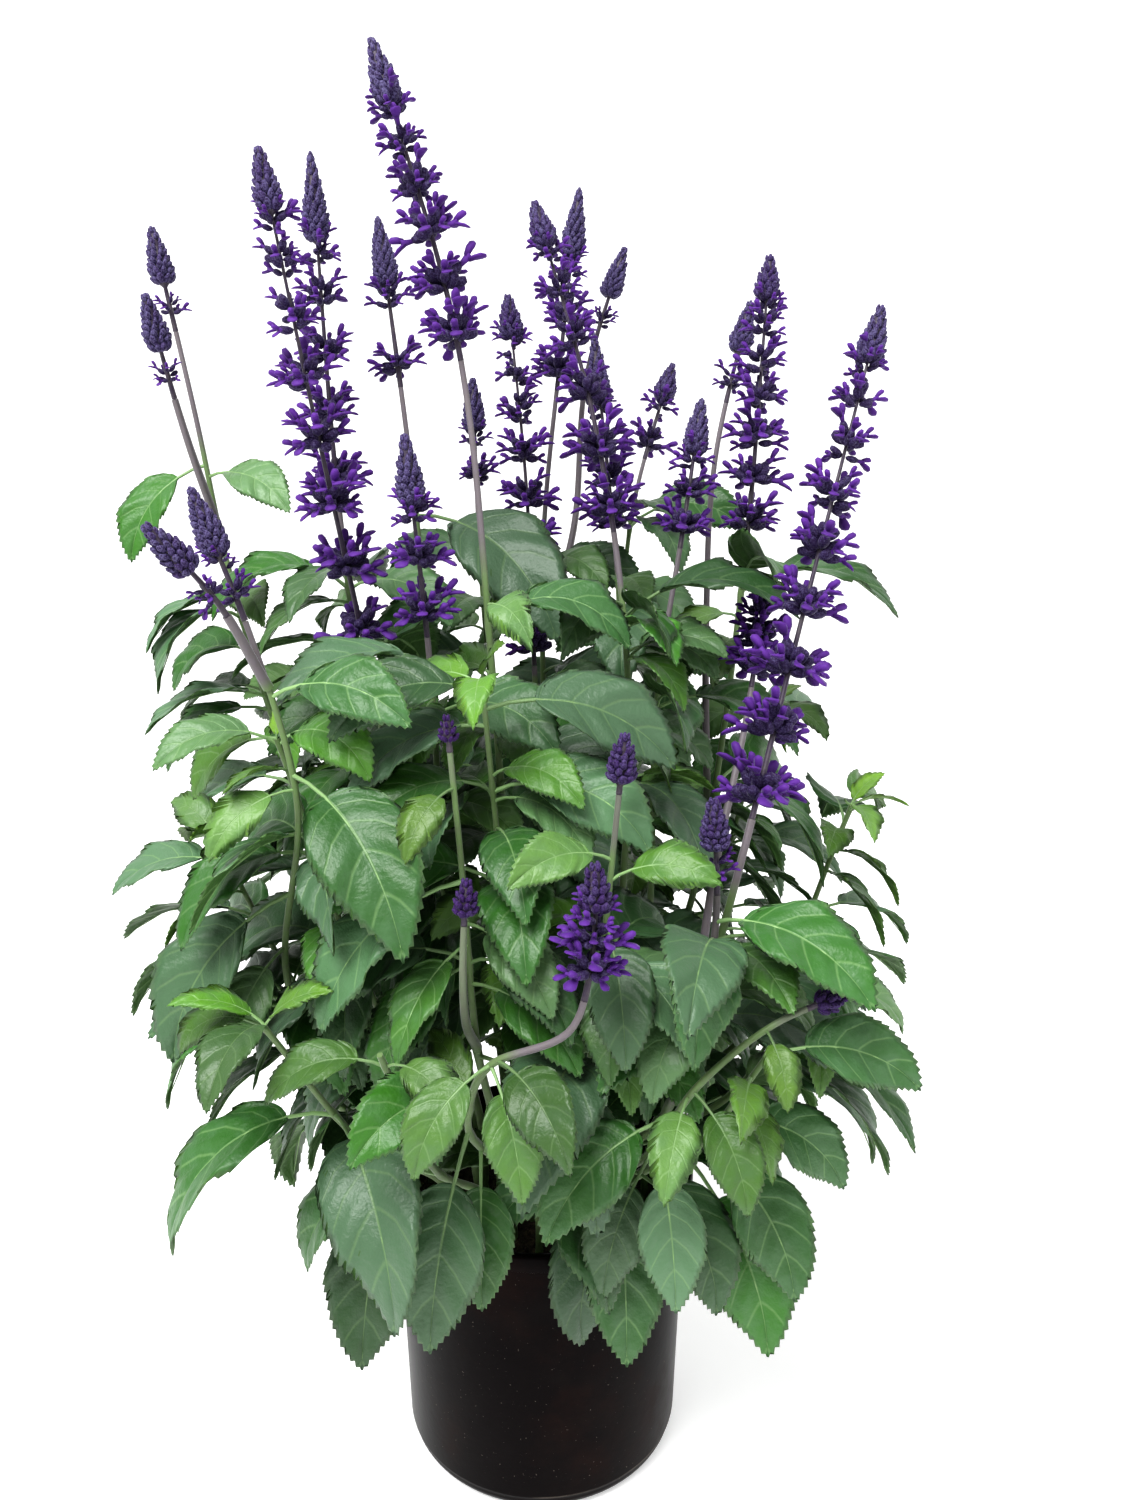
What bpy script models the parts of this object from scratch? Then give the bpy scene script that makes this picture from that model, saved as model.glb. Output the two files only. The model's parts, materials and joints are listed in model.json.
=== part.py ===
"""A potted salvia: square leafy stems rooted in a nursery pot of soil, each topped by a violet flower spike.

Run with  blender --background --python part.py  or from the text editor.
Metres, +Z up. The origin is the centre of the pot's foot, on the surface that the pot stands on.
The viewer of the plant stands on the -Y side.
"""

import math
import random
from collections import namedtuple

import bmesh
import bpy
from mathutils import Matrix, Vector
from mathutils.bvhtree import BVHTree

CM = 0.01
MM = 0.001

# Nursery pot of one gallon: 165 mm across the wall at the top, 168 mm tall
POT_HEIGHT = 168 * MM
POT_TOP_RADIUS = 82.2 * MM
POT_LOW_RADIUS = 78.0 * MM
POT_STEP_HEIGHT = 11 * MM
POT_STEP = 0.9 * MM
POT_FOOT_RADIUS = 67 * MM
POT_WALL = 2.0 * MM
POT_FLOOR = 3.0 * MM
LIP_HEIGHT = 11 * MM
LIP_OUT = 3.6 * MM
POT_SEGMENTS = 30
SOIL_SEGMENTS = 20
DRAIN_HOLES = 5
DRAIN_RADIUS = 6.5 * MM
DRAIN_RING = 50 * MM
SHARP_EDGE = math.radians(35)

# Soil, and the holes that the stems stand in
SOIL_TOP = 150 * MM
SOIL_DIP = 4 * MM
SEAT_GAP = 0.3 * MM
ROOT_DEPTH = 24 * MM
ROOT_HEIGHTS = (SOIL_TOP - ROOT_DEPTH, SOIL_TOP + 1 * MM, POT_HEIGHT + 8 * MM)

# Square stems: distance from the middle to a corner
STEM_LOW_RADIUS = 3.3 * MM
STEM_HIGH_RADIUS = 1.9 * MM
STEM_TAPER = 1.15
STEM_STEP = 4 * MM
STEM_SAG = 0.9 * MM
BARE_BELOW_WHORL = 10 * MM
BARE_BELOW_HEAD = 2 * MM

# Leaves: a blade is thick along its middle and has thin, raised margins
BLADE_HALF_THICK = 0.7 * MM
PETIOLE_HALF_THICK = 0.9 * MM
LEAF_WIDTH_SHARE = 0.56
LEAF_FOLD = math.radians(14)
LEAF_RISE = 0.14
LEAF_SUNK = 0.8 * MM
LEAF_STEP = 3 * MM
WIDEST_AT, BASE_POWER, TIP_POWER = 0.37, 0.62, 1.06

# How leaves stand: the angles are in degrees, and the ranges are drawn from at random
LEAF_SEED = 11
BLADE_RANGE = (0.78, 1.08)
WIDTH_RANGE = (0.93, 1.07)
PETIOLE_RANGE = (0.26, 0.36)
RISE_LOW, RISE_MORE, RISE_RANGE = 26, 16, (-8, 8)
DROOP_LOW, DROOP_LESS, DROOP_RANGE = 112, 6, (-12, 16)
HEADING_RANGE = (-14, 14)
ROLL_RANGE = (-22, 22)
SMALLER_BELOW_SPIKE = 0.16
SMALLER_AT_TIP = 0.45
OUTWARD_SHARE = 0.4
OUTWARD_MOST = math.radians(42)
OUTWARD_ROLL = math.radians(50)

# Leaves high on the plant reach for the light, those at the rear to the sides and the front
LIT_FROM, LIT_FULLY = 290 * MM, 400 * MM
LIT_PULL = 2
LIT_ROLL = math.radians(78)

# The leaves seen best from the front hang and turn their upper faces to the viewer
FRONT_DROOP = math.radians(78)
FRONT_STEEPEST = math.radians(86)
FRONT_PETIOLE = 0.24
FRONT_ROLL = math.radians(80)
TO_VIEWER = Vector((0, -1, 0))

# Leaves keep clear of each other, of the pot, and of stems but for their own at the root
CLEAR = 1.5 * MM
CLEAR_STEM = 1 * MM
CLEAR_HEAD = 2 * MM
OWN_STEM = 8 * MM
LOWEST_LEAF = 112 * MM
FLAT_ENOUGH = math.radians(0.4)

# Flower spikes: each whorl is a star in two tiers (height, share of the reach, lift of its tips)
RACHIS_RADIUS = 1.5 * MM
WHORL_REACH = 21 * MM
WHORL_LOW, WHORL_HIGH = -4 * MM, 6.5 * MM
WHORL_TIERS = ((-0.5 * MM, 1.0, 5 * MM), (3 * MM, 0.82, 8 * MM))
WHORL_INNER = 0.20
WHORL_SPREAD = 1.25
YOUNG_REACH, FULL_FROM = 0.62, 0.7
BUDDING_REACH, BUDDING_HEAD, GROWN_HEAD = 0.5, 0.68, 0.38
LONG_SPIKE, WIDER_PER_CM = 20, 0.05
RING_GAP = 3 * MM

# The grey head of buds that tops a spike
HEAD_RADIUS = 7.2 * MM
HEAD_SLENDER = 0.34
SHORT_HEAD = 26 * MM
BUD_OUT, BUD_IN = 1.16, 0.82
HEAD_SWELL_FROM, HEAD_SWELL = 0.28, 0.8
HEAD_THINS, HEAD_POWER = 0.72, 1.7

# A shoot grows through its points (in centimetres, x right, y away from the viewer, z up). Its first point
# is its root in the soil or, where it forks, the share of its parent's length that it leaves at.
# The spike takes the last length of it. Leaf pairs are spread between two heights.
Shoot = namedtuple("Shoot", "name fork points spike head whorls pairs leaf_low leaf_high leaf turn")

SHOOTS = (
    Shoot("tall", None, ((-1.0, -1.6), (-1.5, -2.2, 30), (-2.3, -2, 46), (-3.9, 0, 61.4), (-7.7, 2, 74.4)),
          14.2, 3.2, 6, 3, 30, 46, 8.8, 20),
    Shoot("left_full", None, ((-3.2, -0.4), (-6.2, -0.2, 30), (-8.4, -0.2, 44), (-10.6, -1.5, 58),
                              (-12.3, -2, 69)), 22.4, 2.8, 8, 3, 27, 44, 8.8, 65),
    Shoot("left_rear", None, ((-3.8, 2.2), (-8.5, 4.2, 34), (-10.5, 5, 50), (-11.5, 6, 70.4)),
          16.2, 4.4, 5, 3, 28, 47, 8.0, 10),
    Shoot("grey_bud", None, ((-2.2, 3.9), (-5.4, 6.6, 36), (-7.3, 8, 56.2), (-8.8, 10, 68)),
          8.2, 3.8, 2, 1, 38, 39, 7.6, 45),
    Shoot("rear_low", None, ((-1.2, 5.6), (-2.4, 9.5, 34), (-3.7, 12, 49.3), (-4.1, 14, 59.8)),
          5.9, 3.2, 2, 2, 34, 48, 8.2, 80),
    Shoot("middle", None, ((2.6, 0.4), (4.4, 0.8, 32), (4.5, 1.7, 46), (2.9, 4.6, 57), (-0.3, 8, 68.4)),
          17.0, 2.6, 6, 3, 28, 46, 8.8, 35),
    Shoot("rear_tall", None, ((0.4, 5.4), (0.2, 11, 34), (0.1, 14, 51.5), (1.2, 15.5, 62), (2.2, 16, 70.5)),
          10.6, 4.0, 3, 2, 36, 49, 8.2, 0),
    Shoot("rear_tall", 0.55, ((1.9, 17, 50.7), (2.7, 18.6, 60), (5.1, 20, 67.8)),
          5.0, 3.3, 1, 0, 0, 0, 0, 0),
    Shoot("dense", None, ((0.6, 2.6), (0.1, 6.4, 32), (-0.4, 8.2, 43), (-0.9, 10.4, 54), (-1.9, 12, 64.2)),
          20.0, 2.5, 8, 2, 28, 40, 8.2, 55),
    Shoot("rear_mid", None, ((2.4, 3.3), (4.0, 8.4, 32), (4.5, 11, 47.6), (3.9, 12.2, 54), (3.0, 14, 62.3)),
          11.2, 4.2, 4, 2, 32, 46, 8.4, 30),
    Shoot("rear_far", None, ((3.3, 5.0), (4.6, 13, 34), (5.8, 18, 52.5), (8.4, 22, 61)),
          6.0, 2.8, 2, 3, 30, 50, 8.2, 75),
    Shoot("right_full", None, ((5.0, 2.5), (9.0, 5, 32), (11.3, 7, 49.8), (12.5, 10, 66)),
          14.6, 2.4, 7, 3, 25, 47, 8.6, 15),
    Shoot("right_full", 0.42, ((9.6, 9.6, 45), (10.0, 11.3, 55), (12.0, 13, 64)),
          5.0, 3.1, 1, 0, 0, 0, 0, 0),
    Shoot("right_mid", None, ((4.6, 0.6), (6.0, 2.2, 30), (6.4, 3.6, 43.5), (7.8, 6, 52), (8.8, 8, 58.5)),
          7.4, 3.2, 3, 3, 26, 42, 7.8, 50),
    Shoot("leaning", None, ((4.2, -3.0), (6.6, -6.4, 24), (8.7, -8, 34.2), (12.6, -3.2, 48), (16.8, 2, 62.7)),
          25.0, 3.0, 9, 2, 20, 29, 8.6, 60),
    Shoot("leaning", 0.30, ((8.6, -4.4, 35), (10.8, 0.4, 43), (11.9, 3.4, 49)),
          4.8, 1.8, 3, 0, 0, 0, 0, 0),
    Shoot("leaning", 0.22, ((7.6, -9.6, 30), (8.1, -10, 36), (7.8, -10, 41.3)),
          3.6, 2.5, 1, 1, 31, 33, 5.6, 0),
    Shoot("left_small", None, ((-2.2, -2.8), (-4.6, -3.2, 32), (-5.2, -3, 45.8), (-6.1, -3, 56.7)),
          8.6, 3.4, 3, 3, 26, 43, 8.4, 5),
    Shoot("left_fork", None, ((-5.2, -1.6), (-10.6, -3.2, 22), (-12.4, -5.6, 30.4), (-10.9, -8, 41),
                              (-12.5, -8, 48.1), (-14.8, -7.6, 54.5)), 5.2, 3.2, 2, 2, 20, 28, 8.8, 25),
    Shoot("left_fork", 0.80, ((-13.4, -10, 50.0), (-15.6, -11.6, 53.2)),
          4.2, 2.8, 1, 0, 0, 0, 0, 0),
    Shoot("far_left", None, ((-5.0, 3.2), (-12.5, 6.4, 32), (-18.0, 8.8, 50), (-19.2, 9.5, 57),
                             (-21.1, 10, 67.5)), 4.6, 3.1, 1, 3, 27, 46, 8.4, 70),
    Shoot("far_left", 0.72, ((-18.9, 6.6, 56), (-20.2, 5.2, 63.6)),
          4.4, 3.0, 1, 0, 0, 0, 0, 0),
    Shoot("front_bud", None, ((-1.4, -4.6), (-2.8, -8.6, 28), (-3.3, -10, 38.4), (-3.8, -10, 45)),
          1.5, 1.3, 0, 2, 27, 33, 8.0, 40),
    Shoot("front_bud", 0.50, ((-3.1, -12.2, 32), (-3.0, -13, 36), (-2.8, -13, 38.6)),
          1.9, 1.7, 0, 0, 0, 0, 0, 0),
    Shoot("front_mid", None, ((1.2, -4.2), (2.6, -8.2, 28), (3.4, -10, 38.3), (3.9, -10, 44.2)),
          2.6, 2.3, 0, 2, 27, 33, 8.2, 10),
    Shoot("front_bent", None, ((0.0, -6.6), (-3.0, -12.9, 27.3), (-1.8, -15, 31.1), (1.6, -15.8, 33.2),
                               (2.4, -15.5, 36.2), (2.5, -15, 40.1)), 4.8, 2.1, 3, 2, 20, 28, 8.0, 85),
    Shoot("front_right", None, ((3.0, -5.8), (5.6, -11.4, 25), (7.2, -13, 29), (10.4, -12.8, 31.8),
                                (13.9, -12, 33)), 2.0, 1.8, 0, 1, 22, 23, 8.0, 30),
    Shoot("leafy_right_low", None, ((5.8, -1.4), (9.8, -4.0, 23), (14.4, -7.0, 31)),
          0, 0, 0, 3, 20, 29, 8.6, 50),
    Shoot("leafy_right", None, ((6.2, 0.8), (12, 2, 24), (17.0, 2.5, 37)), 0, 0, 0, 4, 20, 37, 8.6, 20),
    Shoot("leafy_rear_right", None, ((5.2, 4.5), (10, 9.5, 27), (14, 13, 40)), 0, 0, 0, 4, 22, 40, 8.6, 70),
    Shoot("leafy_rear", None, ((-0.8, 6.9), (-1.8, 14, 28), (-2.2, 19, 39)), 0, 0, 0, 4, 21, 39, 8.6, 5),
    Shoot("leafy_rear_left", None, ((-4.2, 5.4), (-9, 10.5, 28), (-14, 14, 41)), 0, 0, 0, 4, 22, 41, 8.6, 40),
    Shoot("leafy_left", None, ((-6.3, 0.4), (-11.8, 0.8, 24), (-17.0, -0.4, 36)), 0, 0, 0, 4, 20, 36, 8.8, 85),
    Shoot("leafy_left_high", None, ((-3.4, -3.2), (-8.6, -5.2, 30), (-12, -6.4, 43)),
          0, 0, 0, 4, 26, 43, 8.8, 50),
    Shoot("leafy_left_low", None, ((-4.6, -5.0), (-8.4, -8.4, 23), (-12.2, -11.4, 31)),
          0, 0, 0, 2, 25, 31, 8.8, 15),
    Shoot("leafy_front_left", None, ((-2.4, -6.1), (-4.8, -10.4, 23), (-6.6, -14.0, 31)),
          0, 0, 0, 2, 22, 30, 8.8, 60),
    Shoot("leafy_front_right", None, ((4.6, -4.6), (7.6, -8.8, 23), (10.2, -12.4, 30)),
          0, 0, 0, 2, 19, 27, 8.0, 0),
    Shoot("leafy_centre", None, ((-0.4, -3.0), (-1.4, -6.0, 32), (-2.4, -7.6, 46)),
          0, 0, 0, 4, 30, 46, 8.2, 20),
)

# The leaves that show best from the front: stem, height of the root and place of the tip, in centimetres
FRONT_LEAVES = (
    ("left_fork", 34.9, (-17.3, -9.0, 27.8)), ("left_fork", 32.3, (-14.3, -9.5, 28.0)),
    ("leafy_left_high", 42.0, (-16.6, -5.0, 39.6)), ("left_fork", 40.7, (-14.4, -10.5, 38.4)),
    ("left_fork", 45.0, (-5.1, -11.0, 44.6)), ("left_fork", 41.0, (-5.4, -14.0, 35.2)),
    ("front_bud", 36.5, (-6.0, -16.0, 31.0)), ("front_bud", 41.3, (-5.4, -13.0, 39.2)),
    ("front_bent", 31.0, (-4.9, -17.5, 27.2)), ("front_bent", 31.0, (-0.4, -18.0, 26.4)),
    ("front_bent", 31.2, (3.4, -17.5, 28.8)), ("front_right", 26.7, (0.4, -15.5, 22.6)),
    ("front_bent", 26.0, (-4.8, -15.0, 16.6)), ("front_bent", 23.6, (-2.5, -13.5, 17.6)),
    ("leafy_left_low", 22.0, (-7.4, -11.0, 16.6)), ("leafy_left_low", 21.0, (-8.8, -10.4, 11.6)),
    ("front_right", 24.2, (3.0, -13.2, 18.0)), ("front_right", 24.4, (6.3, -14.6, 18.4)),
    ("front_right", 20.9, (4.3, -12.0, 13.2)), ("front_right", 28.0, (5.4, -17.0, 25.6)),
    ("front_right", 28.4, (9.1, -16.0, 24.4)), ("leafy_front_right", 22.0, (11.1, -12.0, 13.8)),
    ("leafy_front_right", 23.4, (12.8, -11.0, 17.1)), ("leafy_front_right", 25.5, (14.6, -10.5, 22.0)),
    ("leafy_front_right", 29.3, (17.2, -12.5, 28.4)), ("front_right", 31.4, (10.7, -15.4, 29.0)),
    ("leaning", 33.0, (9.4, -14.0, 31.0)), ("leaning", 34.0, (13.0, -9.0, 32.2)),
    ("front_mid", 34.6, (3.9, -14.6, 30.4)), ("front_bud", 35.0, (-0.2, -14.2, 32.2)),
    ("front_mid", 36.3, (8.2, -11.8, 37.8)), ("front_mid", 37.4, (-1.2, -12.8, 38.0)),
    ("leafy_centre", 43.9, (6.4, -9.0, 41.6)), ("grey_bud", 51.0, (1.0, 2.0, 46.0)),
    ("far_left", 54.4, (-23.0, 7.6, 49.6)), ("far_left", 54.0, (-13.6, 6.5, 52.4)),
)

Leaf = namedtuple("Leaf", "stem point azimuth rise droop petiole blade width roll")


def smooth_path(points, steps=10):
    """Points along a smooth curve through the given ones. A short span bends it less than a long one."""
    spans = [(b - a).length for a, b in zip(points, points[1:])]
    ways = [(b - a) / span for a, b, span in zip(points, points[1:], spans)]
    bends = [(v * right + w * left) / (left + right)
             for v, w, left, right in zip(ways, ways[1:], spans, spans[1:])]
    tangents = [ways[0], *bends, ways[-1]]
    path = []
    for i, span in enumerate(spans):
        for step in range(steps):
            t = step / steps
            along = t * t * (3 - 2 * t)
            out = t * (1 - t) * (1 - t) * span
            back = t * t * (1 - t) * span
            path.append(points[i].lerp(points[i + 1], along) + out * tangents[i] - back * tangents[i + 1])
    return [*path, points[-1]]


class Path:
    """A curve that is read by the distance along it."""

    def __init__(self, points):
        self.points = smooth_path(points)
        self.marks = [0.0]
        for a, b in zip(self.points, self.points[1:]):
            self.marks.append(self.marks[-1] + (b - a).length)
        self.length = self.marks[-1]

    def at(self, distance):
        """The point there; past an end, the end."""
        distance = min(max(distance, 0.0), self.length)
        i = 0
        while i < len(self.marks) - 2 and self.marks[i + 1] < distance:
            i += 1
        share = (distance - self.marks[i]) / (self.marks[i + 1] - self.marks[i])
        return self.points[i].lerp(self.points[i + 1], share)

    def tangent(self, distance):
        """The direction of growth there."""
        step = 2 * MM
        return (self.at(distance + step) - self.at(distance - step)).normalized()

    def distance_at_height(self, height):
        """How far along the curve first reaches a height."""
        for i in range(len(self.points) - 1):
            if self.points[i + 1].z >= height:
                return self.marks[i + 1]
        return self.length


def shoot_paths():
    """The path of every shoot, with a forking one starting on its parent's."""
    paths, parents = [], {}
    for shoot in SHOOTS:
        points = [Vector(p) * CM for p in shoot.points if len(p) == 3]
        if shoot.fork is None:
            x, y = shoot.points[0]
            points[:0] = [Vector((x * CM, y * CM, height)) for height in ROOT_HEIGHTS]
        else:
            parent = parents[shoot.name]
            points.insert(0, parent.at(shoot.fork * parent.length))
        path = Path(points)
        if shoot.fork is None:
            parents[shoot.name] = path
        paths.append(path)
    return paths


def ring_frame(tangent):
    """Two directions square to a tangent, which turn as little as the shoot lets them."""
    side = Vector((0, 1, 0)).cross(tangent).normalized()
    return side, tangent.cross(side)


def tube(path, marks, radius_of, sides, turn=0.0):
    """Vertices and faces of a closed tube along a path, with a ring at each mark and its ends capped."""
    verts, faces = [], []
    for distance in marks:
        centre, (side, up) = path.at(distance), ring_frame(path.tangent(distance))
        radius = radius_of(distance)
        for k in range(sides):
            angle = math.tau * (k + 0.5) / sides + turn
            verts.append(centre + radius * (math.cos(angle) * side + math.sin(angle) * up))
    for i in range(len(marks) - 1):
        for k in range(sides):
            a, b = i * sides + k, i * sides + (k + 1) % sides
            faces.append((a, b, b + sides, a + sides))
    faces.append(tuple(range(sides)))
    faces.append(tuple(range((len(marks) - 1) * sides, len(marks) * sides)))
    return verts, faces


def even_marks(start, end, count):
    """Distances from start to end in equal steps."""
    return [start + (end - start) * i / count for i in range(count + 1)]


def stem_radius(path):
    """The stem thins from its root to the foot of its spike."""
    thinning = STEM_HIGH_RADIUS - STEM_LOW_RADIUS
    return lambda distance: STEM_LOW_RADIUS + thinning * min(STEM_TAPER * distance / path.length, 1)


def stem_end(shoot, path):
    """Distance at which the leafy stem stops and its spike starts."""
    if not shoot.spike:
        return path.length
    return path.length - shoot.spike * CM - (BARE_BELOW_WHORL if shoot.whorls else BARE_BELOW_HEAD)


def bend_marks(path, start, end):
    """Distances from start to end, just close enough that straight spans between them follow the curve."""
    marks, way = [start], path.tangent(start)
    for distance in even_marks(start, end, round((end - start) / STEM_STEP))[1:-2]:
        tangent = path.tangent(distance)
        if (distance - marks[-1]) * way.angle(tangent) > 8 * STEM_SAG:
            marks.append(distance)
            way = tangent
    return [*marks, end]


def stem_tube(shoot, path):
    """A square stem, straight in the soil."""
    turn = math.radians(shoot.turn)
    if shoot.fork:
        return tube(path, bend_marks(path, 0.0, stem_end(shoot, path)), stem_radius(path), 4, turn)
    marks = bend_marks(path, ROOT_HEIGHTS[1] - ROOT_HEIGHTS[0], stem_end(shoot, path))
    return tube(path, [0.0, *marks], stem_radius(path), 4, turn)


def whorl_marks(shoot, path):
    """Distance along the path and reach of each whorl, lowest first: they stand further apart lower down,
    are small on a spike that is still mostly head, and wide at the foot of a long one."""
    grown = min(1.0, (BUDDING_HEAD - shoot.head / shoot.spike) / (BUDDING_HEAD - GROWN_HEAD))
    wider = WIDER_PER_CM * max(0, shoot.spike - LONG_SPIKE)
    marks = []
    for k in range(shoot.whorls, 0, -1):
        share = (k - 0.6) / max(shoot.whorls - 0.6, 0.4)
        below_tip = shoot.head + (shoot.spike - shoot.head) * share ** WHORL_SPREAD
        reach = WHORL_REACH * (YOUNG_REACH + (1 - YOUNG_REACH) * min(1.0, share / FULL_FROM))
        reach *= BUDDING_REACH + (1 - BUDDING_REACH) * grown + wider * share
        marks.append((path.length - below_tip * CM, reach))
    return marks


def whorl_rings(shoot, path):
    """Distance of each ring of the whorls, with the radius and lift of its points in turn: 4 of them or 8."""
    narrow = [(RACHIS_RADIUS, 0.0)] * 4
    last = stem_end(shoot, path) + SEAT_GAP
    rings = [(last, narrow)]
    for mark, reach in whorl_marks(shoot, path):
        if mark + WHORL_LOW > last + RING_GAP:
            rings.append((mark + WHORL_LOW, narrow))
        inner = (WHORL_INNER * reach, 0.0)
        for tier, (height, share, lift) in enumerate(WHORL_TIERS):
            tip = (share * reach, lift)
            rings.append((mark + height, ([inner, tip] if tier else [tip, inner]) * 4))
        last = mark + WHORL_HIGH
        rings.append((last, narrow))
    return rings


def head_rings(shoot, path, last):
    """The rings of the head of buds above the last whorl's: its bumps stand in turn."""
    head = shoot.head * CM
    start = path.length - head
    widest = min(HEAD_RADIUS, HEAD_SLENDER * head)
    count = 3 if head < SHORT_HEAD else 4
    rings = []
    if start > last:
        rings.append((start, [(RACHIS_RADIUS, 0.0)] * 4))
        last = start
    for j in range(count):
        share = (j + 0.35) / count
        swelling = math.sin(math.pi * min(0.5, HEAD_SWELL_FROM + HEAD_SWELL * share))
        radius = widest * swelling * (1 - HEAD_THINS * share ** HEAD_POWER)
        bud, hollow = (BUD_OUT * radius, 0.0), (BUD_IN * radius, 0.0)
        last = max(last + 0.6 * MM, start + head * share)
        rings.append((last, ([bud, hollow] if j % 2 else [hollow, bud]) * 4))
    return rings


def banded(low, high, reach):
    """Triangles between two rings of vertex numbers, of 4 or 8 each, with the folds along the ridges."""
    if len(low) == len(high):
        for a, b, c, d in zip(low, low[1:] + low[:1], high[1:] + high[:1], high):
            ridge_at_b = max(reach[b], reach[d]) > max(reach[a], reach[c])
            yield from ((a, b, d), (b, c, d)) if ridge_at_b else ((a, b, c), (a, c, d))
        return
    few, many = (low, high) if len(low) < len(high) else (high, low)
    for k, corner in enumerate(few):
        before, level, after = many[2 * k - 1], many[2 * k], many[2 * k + 1]
        yield from ((corner, before, level), (corner, level, after), (corner, after, few[(k + 1) % len(few)]))


def spike_mesh(shoot, path):
    """One closed skin: whorls of pointed florets and a bumpy head of buds, raised from the flower stalk."""
    verts, faces, reach, rings = [], [], [], []
    whorls = whorl_rings(shoot, path)
    for distance, points in whorls + head_rings(shoot, path, whorls[-1][0]):
        centre, tangent = path.at(distance), path.tangent(distance)
        side, up = ring_frame(tangent)
        rings.append([len(verts) + k for k in range(len(points))])
        for k, (radius, lift) in enumerate(points):
            angle = math.tau * k / len(points)
            verts.append(centre + lift * tangent + radius * (math.cos(angle) * side + math.sin(angle) * up))
            reach.append(radius)
    for low, high in zip(rings, rings[1:]):
        faces.extend(banded(low, high, reach))
    faces.append(tuple(rings[0]))
    verts.append(path.at(path.length))
    top = rings[-1]
    faces.extend((a, b, len(verts) - 1) for a, b in zip(top, top[1:] + top[:1]))
    return verts, faces


def leaf_frames(leaf, marks):
    """Centre, side and normal of a leaf at distances from its root, as its stalk rises and its blade droops."""
    total = leaf.petiole + leaf.blade
    heading = Vector((math.cos(leaf.azimuth), math.sin(leaf.azimuth), 0))
    level = Vector((-math.sin(leaf.azimuth), math.cos(leaf.azimuth), 0))
    frames, centre, done = [], leaf.point - heading * LEAF_SUNK, 0.0
    for mark in marks:
        steps = max(1, round((mark - done) / LEAF_STEP))
        length = (mark - done) / steps
        for i in range(steps):
            slope = leaf.rise - leaf.droop * (done + (i + 0.5) * length) / total
            centre = centre + length * (heading * math.cos(slope) + Vector((0, 0, math.sin(slope))))
        done = mark
        slope = leaf.rise - leaf.droop * mark / total
        tangent = heading * math.cos(slope) + Vector((0, 0, math.sin(slope)))
        turn = Matrix.Rotation(leaf.roll * mark / total, 3, tangent)
        side = turn @ level
        frames.append((centre, side, tangent.cross(side)))
    return frames


def half_width(leaf, u):
    """Half the blade's width at a share u of its length: oval, widest near the base, with a long tip."""
    return 0.5 * leaf.width * (u / WIDEST_AT) ** BASE_POWER * ((1 - u) / (1 - WIDEST_AT)) ** TIP_POWER


# Share of the blade's length and of its half width there: the margin's points, toothed, up to the tip
MARGIN = ((0.12, 1.0), (0.37, 1.06), (0.42, 0.92), (0.68, 1.10), (0.735, 0.86), (1.0, 0.0))
MIDDLE = 2


def leaf_mesh(leaf, swell=0.0, start=0.0):
    """Closed leaf: a three-sided stalk and a folded, toothed blade, thick at the middle, swollen if asked."""
    marks = [start, leaf.petiole] + [leaf.petiole + u * leaf.blade for u, _ in MARGIN]
    frames = leaf_frames(leaf, marks)
    stalk = PETIOLE_HALF_THICK + swell
    verts = []
    _, side, normal = frames[1]
    for centre in (frames[0][0], frames[1][0]):
        level = centre + 0.6 * stalk * normal
        verts += [level + stalk * side, level - stalk * side, centre - stalk * normal]
    centre, _, normal = frames[2 + MIDDLE]
    verts += [centre + (BLADE_HALF_THICK + swell) * normal, centre - (BLADE_HALF_THICK + swell) * normal]
    over, under, root_keel, keel = 6, 7, 2, 5
    margins = ([3], [4])
    for sign, margin in zip((1, -1), margins):
        for (u, share), (centre, side, normal) in zip(MARGIN[:-1], frames[2:]):
            width = share * half_width(leaf, u)
            out = sign * (width * math.cos(LEAF_FOLD) + swell)
            margin.append(len(verts))
            verts.append(centre + out * side + LEAF_RISE * width * normal)
    tip = len(verts)
    verts.append(frames[-1][0] + swell * (frames[-1][0] - frames[-2][0]).normalized())
    faces = [(0, 1, root_keel), (0, 1, 4, 3), (0, 3, keel, root_keel), (1, 4, keel, root_keel), (3, 4, over)]
    for margin in margins:
        margin.append(tip)
        faces += [(over, a, b) for a, b in zip(margin, margin[1:])]
        faces += [(keel, margin[0], margin[1]), (keel, margin[1], under)]
        faces += [(under, a, b) for a, b in zip(margin[1:], margin[2:])]
    return verts, faces


def risen(point):
    """0 for a leaf low on the plant, and 1 for one that stands up in the light."""
    return min(1.0, max(0.0, (point.z - LIT_FROM) / (LIT_FULLY - LIT_FROM)))


def open_side(point):
    """The level direction that is open to a leaf: away from the pot's axis, and for one that stands high at
    the rear to the side or the front."""
    pull = LIT_PULL * risen(point) if point.y > 0 else 0
    return Vector((point.x, point.y * (1 - pull), 0)).normalized()


def turned_outward(azimuth, outward):
    """The heading of a leaf, turned some way towards its open side."""
    off = math.remainder(math.atan2(outward.y, outward.x) - azimuth, math.tau)
    return azimuth + max(-OUTWARD_MOST, min(OUTWARD_MOST, OUTWARD_SHARE * off))


def roll_towards(azimuth, toward, most):
    """The roll that shows the upper face of a leaf to a direction which its heading leaves at its side."""
    return most * (math.sin(azimuth) * toward.x - math.cos(azimuth) * toward.y)


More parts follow.
